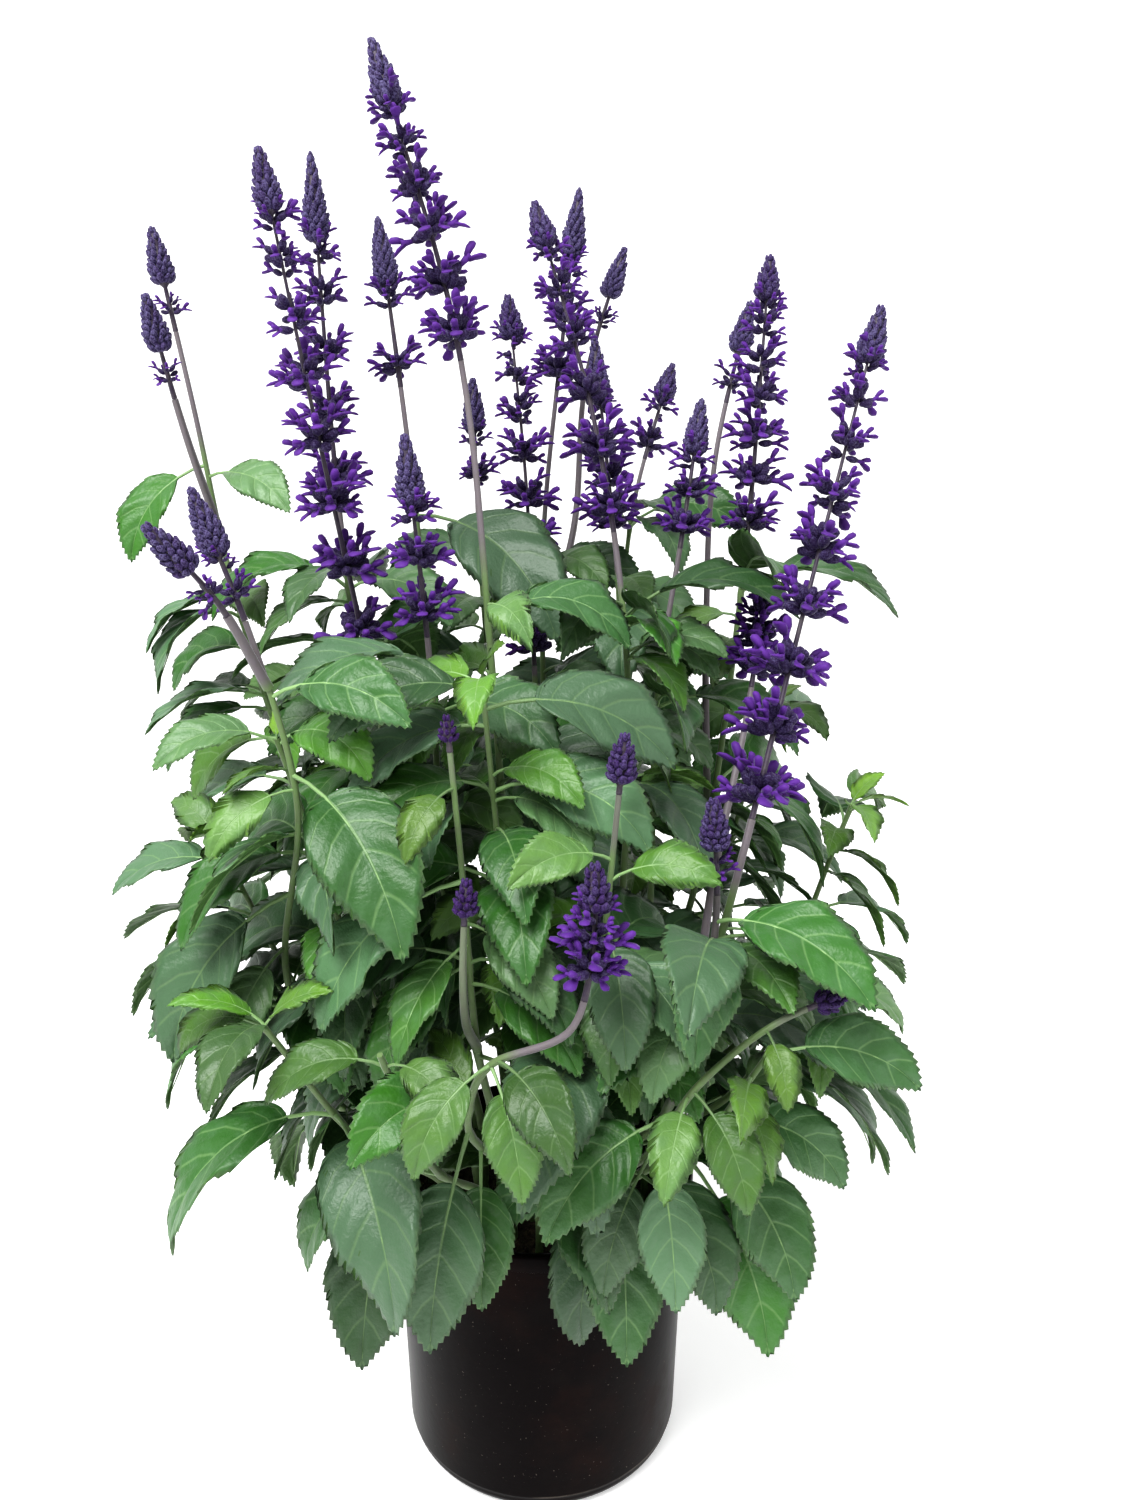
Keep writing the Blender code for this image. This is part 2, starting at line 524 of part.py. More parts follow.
def front_leaves(paths):
    """The leaves of FRONT_LEAVES, each an arc from its stem to its tip."""
    stems = {shoot.name: path for shoot, path in zip(SHOOTS, paths) if shoot.fork is None}
    leaves = []
    for name, height, tip in FRONT_LEAVES:
        stem = stems[name]
        point = stem.at(stem.distance_at_height(height * CM))
        reach = Vector(tip) * CM - point
        pitch = math.atan2(reach.z, math.hypot(reach.x, reach.y))
        droop = min(FRONT_DROOP, 2 * (FRONT_STEEPEST + pitch))
        length = reach.length * (droop / 2) / math.sin(droop / 2)
        blade = (1 - FRONT_PETIOLE) * length
        azimuth = math.atan2(reach.y, reach.x)
        leaves.append(Leaf(name, point, azimuth, pitch + droop / 2, droop, length - blade, blade,
                           blade * LEAF_WIDTH_SHARE, roll_towards(azimuth, TO_VIEWER, FRONT_ROLL)))
    return leaves


def pair_leaf(shoot, point, up, heading, chance):
    """One leaf of a pair, which stands at a share up of the way from its shoot's lowest pair to its highest."""
    size = 1.0 - (SMALLER_BELOW_SPIKE if shoot.spike else SMALLER_AT_TIP) * up ** 2
    blade = shoot.leaf * CM * size * chance.uniform(*BLADE_RANGE)
    rise = RISE_LOW + RISE_MORE * up + chance.uniform(*RISE_RANGE)
    outward = open_side(point)
    azimuth = turned_outward(math.radians(heading + chance.uniform(*HEADING_RANGE)), outward)
    most = OUTWARD_ROLL + (LIT_ROLL - OUTWARD_ROLL) * risen(point)
    return Leaf(
        stem=shoot.name, point=point, azimuth=azimuth, rise=math.radians(rise),
        droop=math.radians(DROOP_LOW - DROOP_LESS * up + chance.uniform(*DROOP_RANGE)),
        petiole=blade * chance.uniform(*PETIOLE_RANGE), blade=blade,
        width=blade * LEAF_WIDTH_SHARE * chance.uniform(*WIDTH_RANGE),
        roll=roll_towards(azimuth, outward, most) + math.radians(chance.uniform(*ROLL_RANGE)))


def wanted_leaves(paths):
    """The opposite pairs of leaves that each shoot would bear, each pair turned square to the last."""
    chance = random.Random(LEAF_SEED)
    leaves = []
    for shoot, path in zip(SHOOTS, paths):
        low = path.distance_at_height(shoot.leaf_low * CM)
        high = min(path.distance_at_height(shoot.leaf_high * CM), stem_end(shoot, path) - 4 * MM)
        for pair in range(shoot.pairs):
            up = pair / max(shoot.pairs - 1, 1)
            point = path.at(low + (high - low) * up)
            for facing in (0, 180):
                leaves.append(pair_leaf(shoot, point, up, shoot.turn + 90 * pair + facing, chance))
    return sorted(leaves, key=lambda leaf: -leaf.blade)


# Size and turns in degrees to try in turn for a leaf that would touch something
TRIES = [(size, rise, turn) for size in (1.0, 0.84, 0.70)
         for rise in (0, 16, -16, 32) for turn in (0, 15, -15, 30, -30, 46, -46)]


def boxed(verts, faces):
    """A solid that leaves keep clear of: the corners of its box, and its faces to test."""
    low = [min(v[i] for v in verts) for i in range(3)]
    high = [max(v[i] for v in verts) for i in range(3)]
    return low, high, BVHTree.FromPolygons(verts, faces)


def touches(one, other):
    """Whether the faces of two boxed solids cross."""
    apart = any(one[0][i] > other[1][i] or other[0][i] > one[1][i] for i in range(3))
    return not apart and bool(one[2].overlap(other[2]))


def bent_clear(leaf, taken):
    """The leaf as wanted or, where it would touch what is taken, turned, raised or smaller, or None."""
    for size, rise, turn in TRIES:
        tried = leaf._replace(
            azimuth=leaf.azimuth + math.radians(turn), rise=leaf.rise + math.radians(rise),
            petiole=leaf.petiole * size, blade=leaf.blade * size, width=leaf.width * size)
        shape = boxed(*leaf_mesh(tried, CLEAR, min(OWN_STEM, 0.5 * tried.petiole)))
        if shape[0][2] > LOWEST_LEAF and not any(touches(shape, other) for other in taken):
            return tried, shape
    return None, None


def drum(path, low, high, radius):
    """A boxed drum around a stretch of a path."""
    return boxed(*tube(path, [low, high], lambda distance: radius, 8))


def obstacles(paths):
    """The pot's wall and every stem and spike, a little swollen."""
    wall = Path([Vector((0, 0, 0)), Vector((0, 0, POT_HEIGHT + CLEAR_STEM))])
    taken = [drum(wall, 0, wall.length, POT_TOP_RADIUS + LIP_OUT + 4 * CLEAR_HEAD)]
    for shoot, path in zip(SHOOTS, paths):
        thick = stem_radius(path)
        marks = bend_marks(path, 0, stem_end(shoot, path))
        taken.append(boxed(*tube(path, marks, lambda d, thick=thick: thick(d) + CLEAR_STEM, 6)))
        if shoot.spike:
            for mark, reach in whorl_marks(shoot, path):
                taken.append(drum(path, mark + WHORL_LOW - RING_GAP, mark + 2 * WHORL_HIGH, reach + CLEAR_STEM))
            taken.append(drum(path, path.length - shoot.head * CM, path.length, HEAD_RADIUS + CLEAR_HEAD))
    return taken


def grown_leaves(paths):
    """Every leaf that finds room, the ones seen best first."""
    taken = obstacles(paths)
    grown = []
    for leaf in front_leaves(paths) + wanted_leaves(paths):
        placed, shape = bent_clear(leaf, taken)
        if placed:
            grown.append(placed)
            taken.append(shape)
    return grown


def material(name, colour, roughness):
    """A plain finish."""
    made = bpy.data.materials.new(name)
    made.use_nodes = True
    shader = made.node_tree.nodes["Principled BSDF"]
    shader.inputs["Base Color"].default_value = (*colour, 1.0)
    shader.inputs["Roughness"].default_value = roughness
    return made


def object_from(name, verts, faces, finish=None, collection=None):
    """A mesh object with its faces turned outwards."""
    mesh = bpy.data.meshes.new(name)
    mesh.from_pydata([tuple(v) for v in verts], [], faces)
    shape = bmesh.new()
    shape.from_mesh(mesh)
    bmesh.ops.recalc_face_normals(shape, faces=shape.faces)
    bmesh.ops.triangulate(shape, faces=shape.faces)
    shape.to_mesh(mesh)
    shape.free()
    if finish:
        mesh.materials.append(finish)
    made = bpy.data.objects.new(name, mesh)
    (collection or bpy.context.scene.collection).objects.link(made)
    return made


def turned(name, profile, segments, finish):
    """A solid turned about the pot's axis from a profile of (radius, height) that starts and ends on it."""
    shape = bmesh.new()
    corners = [shape.verts.new((r, 0, z)) for r, z in profile]
    edges = [shape.edges.new(pair) for pair in zip(corners, corners[1:])]
    bmesh.ops.spin(shape, geom=corners + edges, axis=(0, 0, 1), cent=(0, 0, 0),
                   steps=segments, angle=math.tau, use_duplicate=False)
    bmesh.ops.remove_doubles(shape, verts=shape.verts, dist=0.02 * MM)
    bmesh.ops.dissolve_limit(shape, angle_limit=math.radians(0.05), verts=shape.verts, edges=shape.edges)
    bmesh.ops.recalc_face_normals(shape, faces=shape.faces)
    mesh = bpy.data.meshes.new(name)
    shape.to_mesh(mesh)
    shape.free()
    mesh.materials.append(finish)
    made = bpy.data.objects.new(name, mesh)
    bpy.context.scene.collection.objects.link(made)
    mesh.shade_smooth()
    mesh.set_sharp_from_angle(angle=SHARP_EDGE)
    return made


def merge_flat_faces(mesh):
    """Take out the points that a Boolean leaves along straight edges."""
    shape = bmesh.new()
    shape.from_mesh(mesh)
    bmesh.ops.dissolve_limit(shape, angle_limit=FLAT_ENOUGH, verts=shape.verts, edges=shape.edges)
    bmesh.ops.triangulate(shape, faces=shape.faces)
    shape.to_mesh(mesh)
    shape.free()


def join_or_cut(body, tools, operation):
    """One Boolean with a collection of tools, applied, and the tools removed."""
    step = body.modifiers.new("tools", "BOOLEAN")
    step.operation = operation
    step.operand_type = "COLLECTION"
    step.collection = tools
    step.solver = "MANIFOLD"
    bpy.context.view_layer.update()
    shaped = bpy.data.meshes.new_from_object(body.evaluated_get(bpy.context.evaluated_depsgraph_get()))
    body.modifiers.remove(step)
    body.data = shaped
    merge_flat_faces(shaped)
    for tool in list(tools.objects):
        bpy.data.objects.remove(tool)
    bpy.data.collections.remove(tools)


def new_tools(name):
    """An empty collection for the bodies of one Boolean."""
    tools = bpy.data.collections.new(name)
    bpy.context.scene.collection.children.link(tools)
    return tools


def wall_radius(height):
    """Outside of the pot's wall, which leans out a little towards the top."""
    share = (height - POT_STEP_HEIGHT) / (POT_HEIGHT - POT_STEP_HEIGHT)
    return POT_LOW_RADIUS + (POT_TOP_RADIUS - POT_LOW_RADIUS) * share


def make_pot(finish):
    """Thin moulded wall with a rolled lip, a step above the rounded foot, and drain holes in the floor."""
    lip_low = POT_HEIGHT - LIP_HEIGHT
    foot_curve = [(POT_FOOT_RADIUS + (POT_LOW_RADIUS - POT_STEP - POT_FOOT_RADIUS) * math.sin(a),
                   POT_STEP_HEIGHT * 0.86 * (1 - math.cos(a)))
                  for a in (0, math.radians(45), math.radians(90))]
    outside = [(0, 0), *foot_curve,
               (POT_LOW_RADIUS, POT_STEP_HEIGHT),
               (wall_radius(lip_low), lip_low),
               (wall_radius(lip_low) + LIP_OUT, lip_low + 1.5 * MM),
               (POT_TOP_RADIUS + LIP_OUT, POT_HEIGHT - 2 * MM),
               (POT_TOP_RADIUS + LIP_OUT - 2 * MM, POT_HEIGHT)]
    inside = [(POT_TOP_RADIUS - POT_WALL + 1 * MM, POT_HEIGHT),
              (POT_TOP_RADIUS - POT_WALL, POT_HEIGHT - 2 * MM),
              (POT_LOW_RADIUS - POT_WALL, POT_STEP_HEIGHT + 4 * MM),
              (POT_FOOT_RADIUS - POT_WALL, POT_FLOOR), (0, POT_FLOOR)]
    pot = turned("pot", outside + inside, POT_SEGMENTS, finish)
    holes = new_tools("drain_holes")
    for k in range(DRAIN_HOLES):
        angle = math.tau * (k + 0.5) / DRAIN_HOLES
        at = Vector((DRAIN_RING * math.cos(angle), DRAIN_RING * math.sin(angle), -2 * MM))
        line = Path([at, at + Vector((0, 0, POT_FLOOR + 4 * MM))])
        object_from("drain", *tube(line, [0, line.length], lambda d: DRAIN_RADIUS, 6), collection=holes)
    join_or_cut(pot, holes, "DIFFERENCE")
    return pot


def make_soil(finish, paths):
    """A plug of potting soil with a plain square hole for each stem."""
    gap = SEAT_GAP
    low_radius = POT_LOW_RADIUS - POT_WALL - 2 * gap
    top_radius = low_radius + (POT_TOP_RADIUS - POT_LOW_RADIUS) * (SOIL_TOP / POT_HEIGHT)
    profile = [(0, POT_FLOOR + gap), (POT_FOOT_RADIUS - POT_WALL - 2 * gap, POT_FLOOR + gap),
               (low_radius, POT_STEP_HEIGHT + 4 * MM + gap), (top_radius, SOIL_TOP - SOIL_DIP),
               (top_radius - 3 * SOIL_DIP, SOIL_TOP), (0, SOIL_TOP)]
    soil = turned("soil", profile, SOIL_SEGMENTS, finish)
    holes = new_tools("stem_holes")
    for shoot, path in zip(SHOOTS, paths):
        if shoot.fork is None:
            root = Path([path.at(0) - Vector((0, 0, gap)), path.at(0) + Vector((0, 0, 2 * ROOT_DEPTH))])
            object_from("hole", *tube(root, [0, root.length], lambda d: STEM_LOW_RADIUS + 1.5 * gap, 4,
                                      math.radians(shoot.turn)), collection=holes)
    join_or_cut(soil, holes, "DIFFERENCE")
    return soil


def make_stems(finish, paths, leaves):
    """One leafy stem for each rooted shoot, with its side shoots and its leaves joined to it."""
    for stem, path in zip(SHOOTS, paths):
        if stem.fork is not None:
            continue
        body = object_from("stem_" + stem.name, *stem_tube(stem, path), finish)
        parts = new_tools("parts_of_" + stem.name)
        for shoot, line in zip(SHOOTS, paths):
            if shoot.name == stem.name and shoot.fork is not None:
                object_from("side_shoot", *stem_tube(shoot, line), finish, parts)
        for leaf in leaves:
            if leaf.stem == stem.name:
                object_from("leaf", *leaf_mesh(leaf), finish, parts)
        join_or_cut(body, parts, "UNION")


def make_spikes(finish, paths):
    """A spike on the end of each flowering shoot, numbered from 1 on its stem."""
    numbers = {}
    for shoot, path in zip(SHOOTS, paths):
        if shoot.spike:
            numbers[shoot.name] = numbers.get(shoot.name, 0) + 1
            name = f"spike_{shoot.name}_{numbers[shoot.name]}"
            object_from(name, *spike_mesh(shoot, path), finish)


def main():
    for old in list(bpy.data.objects):
        bpy.data.objects.remove(old)
    paths = shoot_paths()
    make_pot(material("pot_plastic", (0.022, 0.014, 0.013), 0.42))
    make_soil(material("potting_soil", (0.030, 0.020, 0.013), 0.95), paths)
    make_stems(material("salvia_leaf", (0.085, 0.205, 0.060), 0.55), paths, grown_leaves(paths))
    make_spikes(material("salvia_flower", (0.070, 0.024, 0.210), 0.70), paths)


main()
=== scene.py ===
"""The looks of a potted salvia: toothed leaves on square stems and violet flower spikes, in a nursery pot.

Runs as a script in Blender. Metres, +Z up, in the frame of the packed model, with the viewer on the -Y side.
Everything grows from the tables SHOOTS, FRONT_LEAVES and GAP_LEAVES. The shoots and the large leaves follow
the same paths and arcs as the packed solids.
"""

import json
import math
import random
from collections import namedtuple

import bmesh
import bpy
import numpy as np
from bpy.props import FloatProperty, FloatVectorProperty, IntProperty, PointerProperty
from mathutils import Matrix, Vector
from mathutils.bvhtree import BVHTree

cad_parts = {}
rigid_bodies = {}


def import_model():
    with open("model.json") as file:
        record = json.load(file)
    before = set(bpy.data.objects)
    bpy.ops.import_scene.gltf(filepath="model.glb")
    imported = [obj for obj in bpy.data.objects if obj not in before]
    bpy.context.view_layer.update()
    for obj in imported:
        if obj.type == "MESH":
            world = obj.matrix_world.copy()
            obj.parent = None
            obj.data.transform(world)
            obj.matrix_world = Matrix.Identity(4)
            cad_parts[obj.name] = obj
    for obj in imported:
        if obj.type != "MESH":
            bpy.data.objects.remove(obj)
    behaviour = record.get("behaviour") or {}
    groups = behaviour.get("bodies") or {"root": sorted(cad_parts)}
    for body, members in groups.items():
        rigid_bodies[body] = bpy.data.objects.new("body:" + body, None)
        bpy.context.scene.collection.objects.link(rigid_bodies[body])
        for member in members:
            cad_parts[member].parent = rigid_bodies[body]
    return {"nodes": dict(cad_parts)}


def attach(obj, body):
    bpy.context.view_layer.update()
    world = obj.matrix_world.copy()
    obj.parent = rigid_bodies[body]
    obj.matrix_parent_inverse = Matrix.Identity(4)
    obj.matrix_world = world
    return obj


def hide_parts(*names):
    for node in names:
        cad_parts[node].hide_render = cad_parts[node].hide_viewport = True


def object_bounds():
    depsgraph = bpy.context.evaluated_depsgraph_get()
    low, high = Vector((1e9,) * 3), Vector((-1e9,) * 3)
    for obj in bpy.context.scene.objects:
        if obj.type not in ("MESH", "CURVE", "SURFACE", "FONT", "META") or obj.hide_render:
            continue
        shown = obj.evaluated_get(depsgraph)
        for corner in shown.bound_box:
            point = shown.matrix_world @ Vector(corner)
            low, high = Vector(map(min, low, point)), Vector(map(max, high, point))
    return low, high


bl_info = {
    "name": "Potted Salvia",
    "version": (1, 0, 0),
    "blender": (4, 5, 0),
    "location": "View3D > Sidebar > Salvia",
    "description": "Grows a potted salvia with toothed leaves and violet flower spikes",
    "category": "Add Mesh",
}

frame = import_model()
CAD_LOW, CAD_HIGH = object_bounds()

CM = 0.01
MM = 0.001

# Nursery pot of one gallon: 165 mm across the wall at the top, 168 mm tall
POT_HEIGHT = 168 * MM
POT_TOP_RADIUS = 82.2 * MM
POT_LOW_RADIUS = 78.0 * MM
POT_STEP_HEIGHT = 11 * MM
POT_STEP = 0.9 * MM
POT_FOOT_RADIUS = 67 * MM
POT_WALL = 2.0 * MM
POT_FLOOR = 3.0 * MM
LIP_HEIGHT = 11 * MM
LIP_OUT = 3.6 * MM
LIP_ROUND = 2 * MM
LIP_FOOT = 1.5 * MM
POT_SEGMENTS = 96
SOIL_SEGMENTS = 72
DRAIN_HOLES = 5
DRAIN_RADIUS = 6.5 * MM
DRAIN_RING = 50 * MM
DRILL_SEGMENTS = 24
SHARP_EDGE = math.radians(35)

# Soil, and the holes that the stems stand in
SOIL_TOP = 150 * MM
SOIL_DIP = 4 * MM
SEAT_GAP = 0.3 * MM
ROOT_DEPTH = 24 * MM
SOIL_WAVES = (60, 260)
ROOT_HEIGHTS = (SOIL_TOP - ROOT_DEPTH, SOIL_TOP + 1 * MM, POT_HEIGHT + 8 * MM)

# Square stems: distance from the middle to a corner
STEM_LOW_RADIUS = 3.3 * MM
STEM_HIGH_RADIUS = 1.9 * MM
STEM_TAPER = 1.15
STEM_STEP = 4 * MM
STEM_SAG = 0.9 * MM
STEM_SIDE = 1.32
JOINT_LENGTH = 3.2 * MM
BARE_BELOW_WHORL = 10 * MM
BARE_BELOW_HEAD = 2 * MM
BELOW_SPIKE = 4 * MM

# Leaves: a blade is thick along its middle and has thin, raised margins
BLADE_HALF_THICK = 0.7 * MM
PETIOLE_HALF_THICK = 0.9 * MM
LEAF_WIDTH_SHARE = 0.56
LEAF_FOLD = math.radians(14)
LEAF_RISE = 0.14
LEAF_SUNK = 0.8 * MM
LEAF_STEP = 3 * MM
WIDEST_AT, BASE_POWER, TIP_POWER = 0.37, 0.62, 1.06

# How leaves stand: the angles are in degrees, and the ranges are drawn from at random
LEAF_SEED = 11
BLADE_RANGE = (0.78, 1.08)
WIDTH_RANGE = (0.93, 1.07)
PETIOLE_RANGE = (0.26, 0.36)
RISE_LOW, RISE_MORE, RISE_RANGE = 26, 16, (-8, 8)
DROOP_LOW, DROOP_LESS, DROOP_RANGE = 112, 6, (-12, 16)
HEADING_RANGE = (-14, 14)
ROLL_RANGE = (-22, 22)
SMALLER_BELOW_SPIKE = 0.16
SMALLER_AT_TIP = 0.45
OUTWARD_SHARE = 0.4
OUTWARD_MOST = math.radians(42)
OUTWARD_ROLL = math.radians(50)

# Leaves high on the plant reach for the light, those at the rear to the sides and the front
LIT_FROM, LIT_FULLY = 290 * MM, 400 * MM
LIT_PULL = 2
LIT_ROLL = math.radians(78)

# The leaves seen best from the front hang and turn their upper faces to the viewer
FRONT_DROOP = math.radians(78)
FRONT_STEEPEST = math.radians(86)
FRONT_PETIOLE = 0.24
FRONT_ROLL = math.radians(80)
TO_VIEWER = Vector((0, -1, 0))

# Leaves keep clear of each other, of the pot, and of stems but for their own at the root
CLEAR = 1.5 * MM
CLEAR_STEM = 1 * MM
CLEAR_HEAD = 2 * MM
OWN_STEM = 8 * MM
LOWEST_LEAF = 112 * MM

# Flower spikes: how far their whorls reach, and how they grow with the spike
WHORL_REACH = 21 * MM
WHORL_LOW, WHORL_HIGH = -4 * MM, 6.5 * MM
WHORL_SPREAD = 1.25
YOUNG_REACH, FULL_FROM = 0.62, 0.7
BUDDING_REACH, BUDDING_HEAD, GROWN_HEAD = 0.5, 0.68, 0.38
LONG_SPIKE, WIDER_PER_CM = 20, 0.05
RING_GAP = 3 * MM

# The head of buds that tops a spike. From GREY_HEAD centimetres of length its buds are all grey.
# Their lifts are in degrees, and those at the very tip are given in millimetres below it
HEAD_RADIUS = 7.2 * MM
HEAD_SLENDER = 0.34
HEAD_FOOT = 0.30
HEAD_THINNING = 0.82
GREY_HEAD = 3.2
SMALL_HEAD = 18 * MM
BUD_ROW, BUD_ACROSS, BUD_LENGTH = 3.3 * MM, 3.9 * MM, 6.2 * MM
BUD_LIFT, BUD_RISES = 24, 52
BUD_TURN = (-0.12, 0.12)
BUD_SIZE = (0.9, 1.12)
TIP_BUDS = (5.2, 7.8)
TIP_BUD_SIZE = 0.7

# Cups and flowers stand in a lower and an upper ring. Their lifts are in degrees, the blurs in millimetres
RING_HEIGHTS = (0.6 * MM, 4.2 * MM)
RING_LIFTS = ((-6, 24), (22, 50))
CUP_BLUR, WHORL_BLUR = 1.6, 3.2
CUP_TURN = (-0.16, 0.16)
CUP_SIZE = (0.84, 1.1)
FLOWER_SIZE = (0.76, 1.14)
CUP_START = 1.4 * MM

# The stalk through a spike, and how a stem ripens above its leaves from green to mauve: fully so below
# a spike of RIPE_SPIKE centimetres or more
STALK_THICK = 2.6 * MM
STALK_THINNING = 0.62
HEAD_CORE = 1.15
RIPENS_IN, RIPENS_ABOVE = 0.16, 0.3
RIPE_SPIKE = 4

# Small leaves, which only the looks have: blades in metres, angles in degrees, heights in centimetres.
# A tuft ends each shoot without a spike: blade, rise, droop and millimetres below the tip of its pairs
SMALL_CLEAR = 0.5 * MM
SMALL_DROOP_RANGE = (-14, 14)
SMALL_PETIOLE_RANGE = (0.16, 0.30)
SMALL_WIDTH_RANGE = (0.88, 1.06)
SMALL_ROLL_RANGE = (-25, 25)
TUFT = ((0.015, 74, 34, 2), (0.025, 62, 52, 8), (0.038, 50, 70, 17))
TUFT_TURN = (-12, 12)
TUFT_SIZE = (0.85, 1.15)
AXIL_BLADE = (0.018, 0.036)
AXIL_UNDER_LEAF, AXIL_BESIDE = 0.8, 1.1
AXIL_ABOVE = 2 * MM
AXIL_TURN = (-25, 25)
AXIL_STANCE = (50, 66)
FILL_BLADE = (0.040, 0.074)
FILL_STANCE = (32, 92)
FILL_FROM, FILL_BELOW, FILL_ABOVE = 19, 5, 2
FILL_SHORT = 6 * MM
FILL_TRIES = 15
FILL_LOWEST = 172 * MM
OPEN_FRONT, OPEN_BELOW = -60 * MM, 320 * MM

# How young a leaf looks, by its blade
OLD_BLADE, YOUNG_BLADE = 58 * MM, 16 * MM
AGE_RANGE = (0.7, 1.2)

# The fine blade: columns across it from margin to margin, and rows that crowd towards its base.
# A leaf with a blade under SMALL_LEAF has fewer of both
SMALL_LEAF = 44 * MM
LARGE_COLUMNS = (-1, -0.84, -0.5, -0.13, 0, 0.13, 0.5, 0.84, 1.0)
SMALL_COLUMNS = (-1, -0.5, 0, 0.5, 1.0)
SMALL_TEETH = 9
FULL_BLADE = 70 * MM
ROW_EASE = 0.92
WIDTH_LIMITS = (0.006, 0.992)
TOOTH_FORWARD, TOOTH_SHARE, TOOTHED_FROM, LEAST_TOOTH = 0.8, 0.20, 0.05, 0.35
VEIN_ROWS = 6
VEIN_ARCH, ARCH_POWER = 1.1, 1.35
SWELL_POWER = 0.7
GROOVE_DEPTH, GROOVE_WIDTH = 0.5 * MM, 0.07
LONG_WAVES, SHORT_WAVES, WAVE_POWER = 2.3, 4.7, 2.2

# Its thickness and that of its midrib in millimetres, and the midrib's width as a share of half the blade's
BLADE_THICK, RIB_THICK, RIB_WIDTH = 0.40, 0.55, 0.1
LEAST_THICK = 0.45

# Rings of the stalk and midrib: shares of the stalk and of the blade, radius and depth in millimetres
RIB_SIDES = 5
RIB_RINGS = ((0, 0, 1.35, 0), (0.5, 0, 1.0, 0), (1, 0, 0.95, 0.35), (1, 0.22, 0.72, 0.75),
             (1, 0.55, 0.48, 0.6), (1, 0.92, 0.20, 0.4))

# Templates of the small parts, in millimetres: distance out, height, half width and half thickness of rings
CUP = ((0, 0, 0.7, 0.7), (1.4, 0, 1.8, 1.7), (4.0, 0, 2.5, 2.4), (6.8, 0.2, 2.3, 2.2), (8.6, 0.4, 1.3, 1.4))
TUBE = ((3.0, 0, 0.9, 0.9), (8.6, 0.2, 1.2, 1.2), (12.6, 0.6, 2.0, 1.8))
HOOD = ((11.0, 1.2, 1.5, 1.2), (13.6, 2.4, 2.1, 1.7), (16.0, 3.0, 1.9, 1.6), (17.3, 2.9, 0.9, 0.8))
LIP = ((11.0, -0.4, 1.5, 1.0), (13.4, -1.2, 2.7, 1.0), (15.8, -2.4, 3.5, 0.9), (17.3, -3.5, 2.2, 0.5))
BUD = ((0, 0, 0.8, 0.8), (1.6, 0, 2.1, 1.8), (4.4, 0.3, 2.0, 1.8), (6.6, 0.8, 0.9, 0.8))
CRUMB_RADIUS = 1.6 * MM
CRUMB_SIZES = ((0.4, 0.3, 0.25), (2.2, 1.5, 0.9))

# What a point of a spike's mesh stands for, and what the trees and the finishes share
KIND_STALK, KIND_CUP, KIND_FLOWER, KIND_BUD = -1, 0, 1, 2
TUBE_INPUTS = (("Side", "Float", 1.0), ("Rounding", "Float", 0.2))
STREAK_COLOUR = (0.11, 0.10, 0.08)

# Names of the packed spikes start with this and end with a line and a figure
SPIKE_PREFIX = "spike_"

# The stage: where the floor starts to sweep up, the lamps, and the camera with its frame in millimetres
SWEEP_FROM = 2.4
KEY_PLACE, KEY_SIZE = (-0.7, -1.1, 2.3), 1.3
FILL_PLACE, FILL_SIZE = (1.9, -1.2, 1.1), 1.6
LAMPS_FACE = Vector((0, 0, 0.38))
CAMERA_PLACE = (0.012, -0.607, 0.568)
CAMERA_TILT = math.radians(75.2)
CAMERA_LENS, CAMERA_FRAME = 29.1, 36


# A shoot grows through its points (in centimetres, x right, y away from the viewer, z up). Its first point
# is its root in the soil or, where it forks, the share of its parent's length that it leaves at.
# The spike takes the last length of it. Leaf pairs are spread between two heights.
Shoot = namedtuple("Shoot", "name fork points spike head whorls pairs leaf_low leaf_high leaf turn")

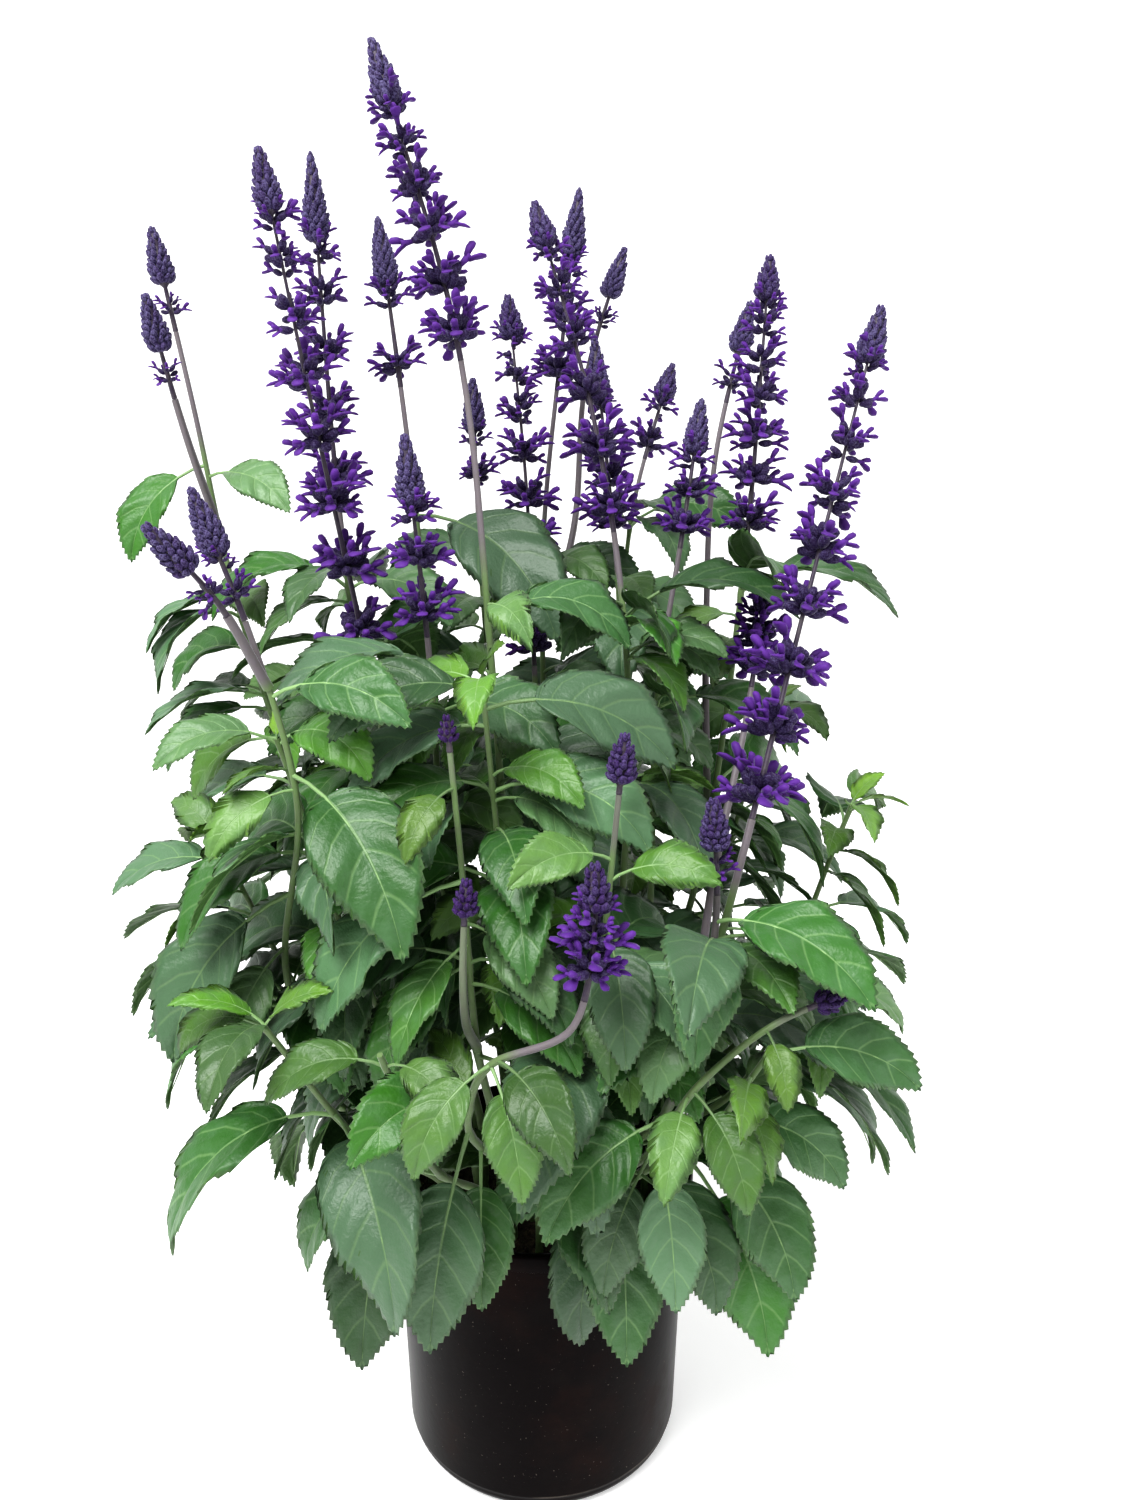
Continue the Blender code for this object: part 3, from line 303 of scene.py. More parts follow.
SHOOTS = (
    Shoot("tall", None, ((-1.0, -1.6), (-1.5, -2.2, 30), (-2.3, -2, 46), (-3.9, 0, 61.4), (-7.7, 2, 74.4)),
          14.2, 3.2, 6, 3, 30, 46, 8.8, 20),
    Shoot("left_full", None, ((-3.2, -0.4), (-6.2, -0.2, 30), (-8.4, -0.2, 44), (-10.6, -1.5, 58),
                              (-12.3, -2, 69)), 22.4, 2.8, 8, 3, 27, 44, 8.8, 65),
    Shoot("left_rear", None, ((-3.8, 2.2), (-8.5, 4.2, 34), (-10.5, 5, 50), (-11.5, 6, 70.4)),
          16.2, 4.4, 5, 3, 28, 47, 8.0, 10),
    Shoot("grey_bud", None, ((-2.2, 3.9), (-5.4, 6.6, 36), (-7.3, 8, 56.2), (-8.8, 10, 68)),
          8.2, 3.8, 2, 1, 38, 39, 7.6, 45),
    Shoot("rear_low", None, ((-1.2, 5.6), (-2.4, 9.5, 34), (-3.7, 12, 49.3), (-4.1, 14, 59.8)),
          5.9, 3.2, 2, 2, 34, 48, 8.2, 80),
    Shoot("middle", None, ((2.6, 0.4), (4.4, 0.8, 32), (4.5, 1.7, 46), (2.9, 4.6, 57), (-0.3, 8, 68.4)),
          17.0, 2.6, 6, 3, 28, 46, 8.8, 35),
    Shoot("rear_tall", None, ((0.4, 5.4), (0.2, 11, 34), (0.1, 14, 51.5), (1.2, 15.5, 62), (2.2, 16, 70.5)),
          10.6, 4.0, 3, 2, 36, 49, 8.2, 0),
    Shoot("rear_tall", 0.55, ((1.9, 17, 50.7), (2.7, 18.6, 60), (5.1, 20, 67.8)),
          5.0, 3.3, 1, 0, 0, 0, 0, 0),
    Shoot("dense", None, ((0.6, 2.6), (0.1, 6.4, 32), (-0.4, 8.2, 43), (-0.9, 10.4, 54), (-1.9, 12, 64.2)),
          20.0, 2.5, 8, 2, 28, 40, 8.2, 55),
    Shoot("rear_mid", None, ((2.4, 3.3), (4.0, 8.4, 32), (4.5, 11, 47.6), (3.9, 12.2, 54), (3.0, 14, 62.3)),
          11.2, 4.2, 4, 2, 32, 46, 8.4, 30),
    Shoot("rear_far", None, ((3.3, 5.0), (4.6, 13, 34), (5.8, 18, 52.5), (8.4, 22, 61)),
          6.0, 2.8, 2, 3, 30, 50, 8.2, 75),
    Shoot("right_full", None, ((5.0, 2.5), (9.0, 5, 32), (11.3, 7, 49.8), (12.5, 10, 66)),
          14.6, 2.4, 7, 3, 25, 47, 8.6, 15),
    Shoot("right_full", 0.42, ((9.6, 9.6, 45), (10.0, 11.3, 55), (12.0, 13, 64)),
          5.0, 3.1, 1, 0, 0, 0, 0, 0),
    Shoot("right_mid", None, ((4.6, 0.6), (6.0, 2.2, 30), (6.4, 3.6, 43.5), (7.8, 6, 52), (8.8, 8, 58.5)),
          7.4, 3.2, 3, 3, 26, 42, 7.8, 50),
    Shoot("leaning", None, ((4.2, -3.0), (6.6, -6.4, 24), (8.7, -8, 34.2), (12.6, -3.2, 48), (16.8, 2, 62.7)),
          25.0, 3.0, 9, 2, 20, 29, 8.6, 60),
    Shoot("leaning", 0.30, ((8.6, -4.4, 35), (10.8, 0.4, 43), (11.9, 3.4, 49)),
          4.8, 1.8, 3, 0, 0, 0, 0, 0),
    Shoot("leaning", 0.22, ((7.6, -9.6, 30), (8.1, -10, 36), (7.8, -10, 41.3)),
          3.6, 2.5, 1, 1, 31, 33, 5.6, 0),
    Shoot("left_small", None, ((-2.2, -2.8), (-4.6, -3.2, 32), (-5.2, -3, 45.8), (-6.1, -3, 56.7)),
          8.6, 3.4, 3, 3, 26, 43, 8.4, 5),
    Shoot("left_fork", None, ((-5.2, -1.6), (-10.6, -3.2, 22), (-12.4, -5.6, 30.4), (-10.9, -8, 41),
                              (-12.5, -8, 48.1), (-14.8, -7.6, 54.5)), 5.2, 3.2, 2, 2, 20, 28, 8.8, 25),
    Shoot("left_fork", 0.80, ((-13.4, -10, 50.0), (-15.6, -11.6, 53.2)),
          4.2, 2.8, 1, 0, 0, 0, 0, 0),
    Shoot("far_left", None, ((-5.0, 3.2), (-12.5, 6.4, 32), (-18.0, 8.8, 50), (-19.2, 9.5, 57),
                             (-21.1, 10, 67.5)), 4.6, 3.1, 1, 3, 27, 46, 8.4, 70),
    Shoot("far_left", 0.72, ((-18.9, 6.6, 56), (-20.2, 5.2, 63.6)),
          4.4, 3.0, 1, 0, 0, 0, 0, 0),
    Shoot("front_bud", None, ((-1.4, -4.6), (-2.8, -8.6, 28), (-3.3, -10, 38.4), (-3.8, -10, 45)),
          1.5, 1.3, 0, 2, 27, 33, 8.0, 40),
    Shoot("front_bud", 0.50, ((-3.1, -12.2, 32), (-3.0, -13, 36), (-2.8, -13, 38.6)),
          1.9, 1.7, 0, 0, 0, 0, 0, 0),
    Shoot("front_mid", None, ((1.2, -4.2), (2.6, -8.2, 28), (3.4, -10, 38.3), (3.9, -10, 44.2)),
          2.6, 2.3, 0, 2, 27, 33, 8.2, 10),
    Shoot("front_bent", None, ((0.0, -6.6), (-3.0, -12.9, 27.3), (-1.8, -15, 31.1), (1.6, -15.8, 33.2),
                               (2.4, -15.5, 36.2), (2.5, -15, 40.1)), 4.8, 2.1, 3, 2, 20, 28, 8.0, 85),
    Shoot("front_right", None, ((3.0, -5.8), (5.6, -11.4, 25), (7.2, -13, 29), (10.4, -12.8, 31.8),
                                (13.9, -12, 33)), 2.0, 1.8, 0, 1, 22, 23, 8.0, 30),
    Shoot("leafy_right_low", None, ((5.8, -1.4), (9.8, -4.0, 23), (14.4, -7.0, 31)),
          0, 0, 0, 3, 20, 29, 8.6, 50),
    Shoot("leafy_right", None, ((6.2, 0.8), (12, 2, 24), (17.0, 2.5, 37)), 0, 0, 0, 4, 20, 37, 8.6, 20),
    Shoot("leafy_rear_right", None, ((5.2, 4.5), (10, 9.5, 27), (14, 13, 40)), 0, 0, 0, 4, 22, 40, 8.6, 70),
    Shoot("leafy_rear", None, ((-0.8, 6.9), (-1.8, 14, 28), (-2.2, 19, 39)), 0, 0, 0, 4, 21, 39, 8.6, 5),
    Shoot("leafy_rear_left", None, ((-4.2, 5.4), (-9, 10.5, 28), (-14, 14, 41)), 0, 0, 0, 4, 22, 41, 8.6, 40),
    Shoot("leafy_left", None, ((-6.3, 0.4), (-11.8, 0.8, 24), (-17.0, -0.4, 36)),
          0, 0, 0, 4, 20, 36, 8.8, 85),
    Shoot("leafy_left_high", None, ((-3.4, -3.2), (-8.6, -5.2, 30), (-12, -6.4, 43)),
          0, 0, 0, 4, 26, 43, 8.8, 50),
    Shoot("leafy_left_low", None, ((-4.6, -5.0), (-8.4, -8.4, 23), (-12.2, -11.4, 31)),
          0, 0, 0, 2, 25, 31, 8.8, 15),
    Shoot("leafy_front_left", None, ((-2.4, -6.1), (-4.8, -10.4, 23), (-6.6, -14.0, 31)),
          0, 0, 0, 2, 22, 30, 8.8, 60),
    Shoot("leafy_front_right", None, ((4.6, -4.6), (7.6, -8.8, 23), (10.2, -12.4, 30)),
          0, 0, 0, 2, 19, 27, 8.0, 0),
    Shoot("leafy_centre", None, ((-0.4, -3.0), (-1.4, -6.0, 32), (-2.4, -7.6, 46)),
          0, 0, 0, 4, 30, 46, 8.2, 20),
)

# The leaves that show best from the front: stem, height of the root and place of the tip, in centimetres
FRONT_LEAVES = (
    ("left_fork", 34.9, (-17.3, -9.0, 27.8)), ("left_fork", 32.3, (-14.3, -9.5, 28.0)),
    ("leafy_left_high", 42.0, (-16.6, -5.0, 39.6)), ("left_fork", 40.7, (-14.4, -10.5, 38.4)),
    ("left_fork", 45.0, (-5.1, -11.0, 44.6)), ("left_fork", 41.0, (-5.4, -14.0, 35.2)),
    ("front_bud", 36.5, (-6.0, -16.0, 31.0)), ("front_bud", 41.3, (-5.4, -13.0, 39.2)),
    ("front_bent", 31.0, (-4.9, -17.5, 27.2)), ("front_bent", 31.0, (-0.4, -18.0, 26.4)),
    ("front_bent", 31.2, (3.4, -17.5, 28.8)), ("front_right", 26.7, (0.4, -15.5, 22.6)),
    ("front_bent", 26.0, (-4.8, -15.0, 16.6)), ("front_bent", 23.6, (-2.5, -13.5, 17.6)),
    ("leafy_left_low", 22.0, (-7.4, -11.0, 16.6)), ("leafy_left_low", 21.0, (-8.8, -10.4, 11.6)),
    ("front_right", 24.2, (3.0, -13.2, 18.0)), ("front_right", 24.4, (6.3, -14.6, 18.4)),
    ("front_right", 20.9, (4.3, -12.0, 13.2)), ("front_right", 28.0, (5.4, -17.0, 25.6)),
    ("front_right", 28.4, (9.1, -16.0, 24.4)), ("leafy_front_right", 22.0, (11.1, -12.0, 13.8)),
    ("leafy_front_right", 23.4, (12.8, -11.0, 17.1)), ("leafy_front_right", 25.5, (14.6, -10.5, 22.0)),
    ("leafy_front_right", 29.3, (17.2, -12.5, 28.4)), ("front_right", 31.4, (10.7, -15.4, 29.0)),
    ("leaning", 33.0, (9.4, -14.0, 31.0)), ("leaning", 34.0, (13.0, -9.0, 32.2)),
    ("front_mid", 34.6, (3.9, -14.6, 30.4)), ("front_bud", 35.0, (-0.2, -14.2, 32.2)),
    ("front_mid", 36.3, (8.2, -11.8, 37.8)), ("front_mid", 37.4, (-1.2, -12.8, 38.0)),
    ("leafy_centre", 43.9, (6.4, -9.0, 41.6)), ("grey_bud", 51.0, (1.0, 2.0, 46.0)),
    ("far_left", 54.4, (-23.0, 7.6, 49.6)), ("far_left", 54.0, (-13.6, 6.5, 52.4)),
)

# Small leaves between the front stems: stem, height of the root and place of the tip, in centimetres
GAP_LEAVES = (("front_bud", 33.0, (-5.0, -14.2, 28.4)), ("front_bud", 31.5, (-0.8, -14.0, 27.6)),
              ("front_mid", 31.0, (2.2, -13.6, 26.4)), ("front_bud", 29.5, (-3.4, -13.0, 24.6)),
              ("front_mid", 33.0, (6.0, -14.0, 28.6)), ("front_bud", 34.2, (-2.2, -14.6, 30.2)))

Leaf = namedtuple("Leaf", "stem point azimuth rise droop petiole blade width roll")


def smooth_path(points, steps=10):
    """Points along a smooth curve through the given ones. A short span bends it less than a long one."""
    spans = [(b - a).length for a, b in zip(points, points[1:])]
    ways = [(b - a) / span for a, b, span in zip(points, points[1:], spans)]
    bends = [(v * right + w * left) / (left + right)
             for v, w, left, right in zip(ways, ways[1:], spans, spans[1:])]
    tangents = [ways[0], *bends, ways[-1]]
    path = []
    for i, span in enumerate(spans):
        for step in range(steps):
            t = step / steps
            along = t * t * (3 - 2 * t)
            out = t * (1 - t) * (1 - t) * span
            back = t * t * (1 - t) * span
            path.append(points[i].lerp(points[i + 1], along) + out * tangents[i] - back * tangents[i + 1])
    return [*path, points[-1]]


class Path:
    """A curve that is read by the distance along it."""

    def __init__(self, points):
        self.points = smooth_path(points)
        self.marks = [0.0]
        for a, b in zip(self.points, self.points[1:]):
            self.marks.append(self.marks[-1] + (b - a).length)
        self.length = self.marks[-1]

    def at(self, distance):
        """The point there; past an end, the end."""
        distance = min(max(distance, 0.0), self.length)
        i = 0
        while i < len(self.marks) - 2 and self.marks[i + 1] < distance:
            i += 1
        share = (distance - self.marks[i]) / (self.marks[i + 1] - self.marks[i])
        return self.points[i].lerp(self.points[i + 1], share)

    def tangent(self, distance):
        """The direction of growth there."""
        step = 2 * MM
        return (self.at(distance + step) - self.at(distance - step)).normalized()

    def distance_at_height(self, height):
        """How far along the curve first reaches a height."""
        for i in range(len(self.points) - 1):
            if self.points[i + 1].z >= height:
                return self.marks[i + 1]
        return self.length


def shoot_paths():
    """The path of every shoot, with a forking one starting on its parent's."""
    paths, parents = [], {}
    for shoot in SHOOTS:
        points = [Vector(p) * CM for p in shoot.points if len(p) == 3]
        if shoot.fork is None:
            x, y = shoot.points[0]
            points[:0] = [Vector((x * CM, y * CM, height)) for height in ROOT_HEIGHTS]
        else:
            parent = parents[shoot.name]
            points.insert(0, parent.at(shoot.fork * parent.length))
        path = Path(points)
        if shoot.fork is None:
            parents[shoot.name] = path
        paths.append(path)
    return paths


def ring_frame(tangent):
    """Two directions square to a tangent, which turn as little as the shoot lets them."""
    side = Vector((0, 1, 0)).cross(tangent).normalized()
    return side, tangent.cross(side)


def ring_quads(rings, sides):
    """Faces between neighbouring rings of vertices."""
    quads = []
    for i in range(rings - 1):
        for k in range(sides):
            a, b = i * sides + k, i * sides + (k + 1) % sides
            quads.append((a, b, b + sides, a + sides))
    return quads


def tube(path, marks, radius_of, sides):
    """Vertices and faces of a closed tube along a path, with a ring at each mark and its ends capped."""
    verts = []
    for distance in marks:
        centre, (side, up) = path.at(distance), ring_frame(path.tangent(distance))
        radius = radius_of(distance)
        for k in range(sides):
            angle = math.tau * (k + 0.5) / sides
            verts.append(centre + radius * (math.cos(angle) * side + math.sin(angle) * up))
    last = (len(marks) - 1) * sides
    return verts, [*ring_quads(len(marks), sides), tuple(range(sides)), tuple(range(last, last + sides))]


def even_marks(start, end, count):
    """Distances from start to end in equal steps."""
    return [start + (end - start) * i / count for i in range(count + 1)]


def stem_radius(path):
    """The stem thins from its root to the foot of its spike."""
    thinning = STEM_HIGH_RADIUS - STEM_LOW_RADIUS
    return lambda distance: STEM_LOW_RADIUS + thinning * min(STEM_TAPER * distance / path.length, 1)


def stem_end(shoot, path):
    """Distance at which the leafy stem stops and its spike starts."""
    if not shoot.spike:
        return path.length
    return path.length - shoot.spike * CM - (BARE_BELOW_WHORL if shoot.whorls else BARE_BELOW_HEAD)


def bend_marks(path, start, end):
    """Distances from start to end, just close enough that straight spans between them follow the curve."""
    marks, way = [start], path.tangent(start)
    for distance in even_marks(start, end, round((end - start) / STEM_STEP))[1:-2]:
        tangent = path.tangent(distance)
        if (distance - marks[-1]) * way.angle(tangent) > 8 * STEM_SAG:
            marks.append(distance)
            way = tangent
    return [*marks, end]


def whorl_marks(shoot, path):
    """Distance along the path and reach of each whorl, lowest first: they stand further apart lower down,
    are small on a spike that is still mostly head, and wide at the foot of a long one."""
    grown = min(1.0, (BUDDING_HEAD - shoot.head / shoot.spike) / (BUDDING_HEAD - GROWN_HEAD))
    wider = WIDER_PER_CM * max(0, shoot.spike - LONG_SPIKE)
    marks = []
    for k in range(shoot.whorls, 0, -1):
        share = (k - 0.6) / max(shoot.whorls - 0.6, 0.4)
        below_tip = shoot.head + (shoot.spike - shoot.head) * share ** WHORL_SPREAD
        reach = WHORL_REACH * (YOUNG_REACH + (1 - YOUNG_REACH) * min(1.0, share / FULL_FROM))
        reach *= BUDDING_REACH + (1 - BUDDING_REACH) * grown + wider * share
        marks.append((path.length - below_tip * CM, reach))
    return marks


def leafy_stretch(shoot, path, low, high, gap=BELOW_SPIKE):
    """Distances along a stem at two heights in centimetres, the upper one short of its spike by a gap."""
    end = stem_end(shoot, path) - gap
    return path.distance_at_height(low * CM), min(path.distance_at_height(high * CM), end)


def leaf_frames(leaf, marks):
    """Centre, side and normal of a leaf at distances from its root: its stalk rises and its blade droops."""
    total = leaf.petiole + leaf.blade
    heading = Vector((math.cos(leaf.azimuth), math.sin(leaf.azimuth), 0))
    level = Vector((-math.sin(leaf.azimuth), math.cos(leaf.azimuth), 0))
    frames, centre, done = [], leaf.point - heading * LEAF_SUNK, 0.0
    for mark in marks:
        steps = max(1, round((mark - done) / LEAF_STEP))
        length = (mark - done) / steps
        for i in range(steps):
            slope = leaf.rise - leaf.droop * (done + (i + 0.5) * length) / total
            centre = centre + length * (heading * math.cos(slope) + Vector((0, 0, math.sin(slope))))
        done = mark
        slope = leaf.rise - leaf.droop * mark / total
        tangent = heading * math.cos(slope) + Vector((0, 0, math.sin(slope)))
        turn = Matrix.Rotation(leaf.roll * mark / total, 3, tangent)
        side = turn @ level
        frames.append((centre, side, tangent.cross(side)))
    return frames


def half_width(leaf, u):
    """Half the blade's width at a share u of its length: oval, widest near the base, with a long tip."""
    return 0.5 * leaf.width * (u / WIDEST_AT) ** BASE_POWER * ((1 - u) / (1 - WIDEST_AT)) ** TIP_POWER


# Share of the blade's length and of its half width there: the margin's points, toothed, up to the tip
MARGIN = ((0.12, 1.0), (0.37, 1.06), (0.42, 0.92), (0.68, 1.10), (0.735, 0.86), (1.0, 0.0))
MIDDLE = 2


def leaf_mesh(leaf, swell=0.0, start=0.0):
    """Closed leaf: a three-sided stalk and a folded, toothed blade, thick at the middle, swollen if asked."""
    marks = [start, leaf.petiole] + [leaf.petiole + u * leaf.blade for u, _ in MARGIN]
    frames = leaf_frames(leaf, marks)
    stalk = PETIOLE_HALF_THICK + swell
    verts = []
    _, side, normal = frames[1]
    for centre in (frames[0][0], frames[1][0]):
        level = centre + 0.6 * stalk * normal
        verts += [level + stalk * side, level - stalk * side, centre - stalk * normal]
    centre, _, normal = frames[2 + MIDDLE]
    verts += [centre + (BLADE_HALF_THICK + swell) * normal, centre - (BLADE_HALF_THICK + swell) * normal]
    over, under, root_keel, keel = 6, 7, 2, 5
    margins = ([3], [4])
    for sign, margin in zip((1, -1), margins):
        for (u, share), (centre, side, normal) in zip(MARGIN[:-1], frames[2:]):
            width = share * half_width(leaf, u)
            out = sign * (width * math.cos(LEAF_FOLD) + swell)
            margin.append(len(verts))
            verts.append(centre + out * side + LEAF_RISE * width * normal)
    tip = len(verts)
    verts.append(frames[-1][0] + swell * (frames[-1][0] - frames[-2][0]).normalized())
    faces = [(0, 1, root_keel), (0, 1, 4, 3), (0, 3, keel, root_keel), (1, 4, keel, root_keel), (3, 4, over)]
    for margin in margins:
        margin.append(tip)
        faces += [(over, a, b) for a, b in zip(margin, margin[1:])]
        faces += [(keel, margin[0], margin[1]), (keel, margin[1], under)]
        faces += [(under, a, b) for a, b in zip(margin[1:], margin[2:])]
    return verts, faces


def risen(point):
    """0 for a leaf low on the plant, and 1 for one that stands up in the light."""
    return min(1.0, max(0.0, (point.z - LIT_FROM) / (LIT_FULLY - LIT_FROM)))


def open_side(point):
    """The level direction that is open to a leaf: away from the pot's axis, and for one that stands high at
    the rear to the side or the front."""
    pull = LIT_PULL * risen(point) if point.y > 0 else 0
    return Vector((point.x, point.y * (1 - pull), 0)).normalized()


def turned_outward(azimuth, outward):
    """The heading of a leaf, turned some way towards its open side."""
    off = math.remainder(math.atan2(outward.y, outward.x) - azimuth, math.tau)
    return azimuth + max(-OUTWARD_MOST, min(OUTWARD_MOST, OUTWARD_SHARE * off))


def roll_towards(azimuth, toward, most):
    """The roll that shows the upper face of a leaf to a direction which its heading leaves at its side."""
    return most * (math.sin(azimuth) * toward.x - math.cos(azimuth) * toward.y)


def front_leaves(paths, wanted):
    """The leaves that a table names, each an arc from its stem to its tip."""
    stems = {shoot.name: path for shoot, path in zip(SHOOTS, paths) if shoot.fork is None}
    leaves = []
    for name, height, tip in wanted:
        stem = stems[name]
        point = stem.at(stem.distance_at_height(height * CM))
        reach = Vector(tip) * CM - point
        pitch = math.atan2(reach.z, math.hypot(reach.x, reach.y))
        droop = min(FRONT_DROOP, 2 * (FRONT_STEEPEST + pitch))
        length = reach.length * (droop / 2) / math.sin(droop / 2)
        blade = (1 - FRONT_PETIOLE) * length
        azimuth = math.atan2(reach.y, reach.x)
        leaves.append(Leaf(name, point, azimuth, pitch + droop / 2, droop, length - blade, blade,
                           blade * LEAF_WIDTH_SHARE, roll_towards(azimuth, TO_VIEWER, FRONT_ROLL)))
    return leaves


def light_roll(point, azimuth, outward):
    """The roll that shows a leaf's upper face to its open side, more so for one that stands high."""
    return roll_towards(azimuth, outward, OUTWARD_ROLL + (LIT_ROLL - OUTWARD_ROLL) * risen(point))


def pair_leaf(shoot, point, up, heading, chance):
    """One leaf of a pair, at a share up of the way from its shoot's lowest pair to its highest."""
    size = 1.0 - (SMALLER_BELOW_SPIKE if shoot.spike else SMALLER_AT_TIP) * up ** 2
    blade = shoot.leaf * CM * size * chance.uniform(*BLADE_RANGE)
    rise = RISE_LOW + RISE_MORE * up + chance.uniform(*RISE_RANGE)
    outward = open_side(point)
    azimuth = turned_outward(math.radians(heading + chance.uniform(*HEADING_RANGE)), outward)
    return Leaf(
        stem=shoot.name, point=point, azimuth=azimuth, rise=math.radians(rise),
        droop=math.radians(DROOP_LOW - DROOP_LESS * up + chance.uniform(*DROOP_RANGE)),
        petiole=blade * chance.uniform(*PETIOLE_RANGE), blade=blade,
        width=blade * LEAF_WIDTH_SHARE * chance.uniform(*WIDTH_RANGE),
        roll=light_roll(point, azimuth, outward) + math.radians(chance.uniform(*ROLL_RANGE)))


def wanted_leaves(paths):
    """The opposite pairs of leaves that each shoot would bear, each pair turned square to the last."""
    chance = random.Random(LEAF_SEED)
    leaves = []
    for shoot, path in zip(SHOOTS, paths):
        low, high = leafy_stretch(shoot, path, shoot.leaf_low, shoot.leaf_high)
        for pair in range(shoot.pairs):
            up = pair / max(shoot.pairs - 1, 1)
            point = path.at(low + (high - low) * up)
            for facing in (0, 180):
                leaves.append(pair_leaf(shoot, point, up, shoot.turn + 90 * pair + facing, chance))
    return sorted(leaves, key=lambda leaf: -leaf.blade)


# Size and turns in degrees to try in turn for a leaf that would touch something
TRIES = [(size, rise, turn) for size in (1.0, 0.84, 0.70)
         for rise in (0, 16, -16, 32) for turn in (0, 15, -15, 30, -30, 46, -46)]


def boxed(verts, faces):
    """A solid that leaves keep clear of: the corners of its box, and its faces to test."""
    low = [min(v[i] for v in verts) for i in range(3)]
    high = [max(v[i] for v in verts) for i in range(3)]
    return low, high, BVHTree.FromPolygons(verts, faces)


def drum(path, low, high, radius):
    """A boxed drum around a stretch of a path."""
    return boxed(*tube(path, [low, high], lambda distance: radius, 8))


def obstacles(paths):
    """The pot's wall and every stem and spike, a little swollen."""
    wall = Path([Vector((0, 0, 0)), Vector((0, 0, POT_HEIGHT + CLEAR_STEM))])
    taken = [drum(wall, 0, wall.length, POT_TOP_RADIUS + LIP_OUT + 4 * CLEAR_HEAD)]
    for shoot, path in zip(SHOOTS, paths):
        thick = stem_radius(path)
        marks = bend_marks(path, 0, stem_end(shoot, path))
        taken.append(boxed(*tube(path, marks, lambda d, thick=thick: thick(d) + CLEAR_STEM, 6)))
        if shoot.spike:
            for mark, reach in whorl_marks(shoot, path):
                low, high = mark + WHORL_LOW - RING_GAP, mark + 2 * WHORL_HIGH
                taken.append(drum(path, low, high, reach + CLEAR_STEM))
            taken.append(drum(path, path.length - shoot.head * CM, path.length, HEAD_RADIUS + CLEAR_HEAD))
    return taken


def wall_radius(height):
    """Outside of the pot's wall, which leans out a little towards the top."""
    share = (height - POT_STEP_HEIGHT) / (POT_HEIGHT - POT_STEP_HEIGHT)
    return POT_LOW_RADIUS + (POT_TOP_RADIUS - POT_LOW_RADIUS) * share


# The pieces follow these parts of the plant
ZONES = {
    "left": ("far_left", "left_rear", "leafy_left", "leafy_left_high"),
    "front_left": ("left_fork", "front_bud", "leafy_left_low", "leafy_front_left"),
    "front": ("front_bent", "front_mid", "leafy_centre"),
    "front_right": ("front_right", "leafy_front_right", "leafy_right_low", "leaning"),
    "right": ("leafy_right", "right_full", "right_mid"),
    "rear_right": ("leafy_rear_right", "rear_far", "rear_mid"),
    "rear": ("leafy_rear", "rear_low", "rear_tall"),
    "rear_left": ("leafy_rear_left", "grey_bud"),
    "middle": ("tall", "left_full", "middle", "dense", "left_small"),
}


def colour(name, description, default):
    """A colour that a user may change."""
    return FloatVectorProperty(name=name, description=description, subtype="COLOR", min=0, max=1,
                               default=default)


def depth(name, description, most, default):
    """A small distance that a user may change."""
    return FloatProperty(name=name, description=description, subtype="DISTANCE", unit="LENGTH", min=0,
                         max=most, default=default)


def share(name, description, least, most, default):
    """A share that a user may change."""
    return FloatProperty(name=name, description=description, subtype="FACTOR", min=least, max=most,
                         default=default)


def power(name, description, default):
    """The power of a lamp, which a user may change."""
    return FloatProperty(name=name, description=description, unit="POWER", min=0, default=default)


class LeafLooks(bpy.types.PropertyGroup):
    """Colours and relief of the leaves."""

    mature: colour("Mature", "Upper face of a full-grown leaf", (0.028, 0.100, 0.018))
    # Partly the leaf's own clear green and partly painted light shining through the blade
    bright: colour("Bright", "Upper face of a full-grown leaf without bloom", (0.034, 0.150, 0.012))
    young: colour("Young", "Upper face of a leaf that has just opened", (0.190, 0.370, 0.035))
    # Partly the grey bloom of fine hairs and partly a painted sheen: the pale reflection of the sky on upper
    # faces
    greyed_and_sheen: colour("Greyed", "Upper face of a leaf with a grey bloom of fine hairs", (0.090, 0.180, 0.092))
    underside: colour("Underside", "Lower face of a leaf", (0.060, 0.135, 0.034))
    rib: colour("Rib", "Midrib and stalk of a leaf", (0.225, 0.370, 0.150))
    teeth: IntProperty(name="Teeth", description="Teeth on each side of a large leaf",
                       min=6, max=24, default=18)
    tooth: depth("Tooth", "Depth of a large leaf's teeth", 0.004, 0.0004)
    quilting: depth("Quilting", "How far the blade swells between its veins", 0.002, 0.0005)
    wave: share("Wave", "Share of the half width that the margin waves by", 0, 0.3, 0.085)
    seed: IntProperty(name="Seed", description="Changes where the small leaves stand", min=0, default=5)


class StemLooks(bpy.types.PropertyGroup):
    """Colours and section of the stems."""

    low: colour("Leafy stem", "Stem among the leaves", (0.110, 0.185, 0.060))
    middle: colour("Flower stalk", "Bare stalk below a spike", (0.130, 0.110, 0.125))
    high: colour("In the spike", "Stalk between the whorls", (0.030, 0.017, 0.042))
    rounding: share("Rounding", "Rounding of the square stem, as a share of its side", 0.02, 0.45, 0.22)
    joint: share("Joint", "How much thicker the stem is where leaves leave it", 0, 1, 0.28)


class FlowerLooks(bpy.types.PropertyGroup):
    """Colours and number of the flowers."""

    petal: colour("Petal", "Open flower", (0.074, 0.019, 0.178))
    calyx: colour("Calyx", "Cup that holds a flower", (0.018, 0.006, 0.042))
    bud: colour("Bud", "Velvety bud at the top of a spike", (0.108, 0.092, 0.200))
    whorl: IntProperty(name="Whorl", description="Cups in a full whorl", min=6, max=24, default=18)
    open_share: share("Open", "Share of the cups with an open flower", 0, 1, 0.78)
    seed: IntProperty(name="Seed", description="Changes how each flower stands", min=0, default=3)


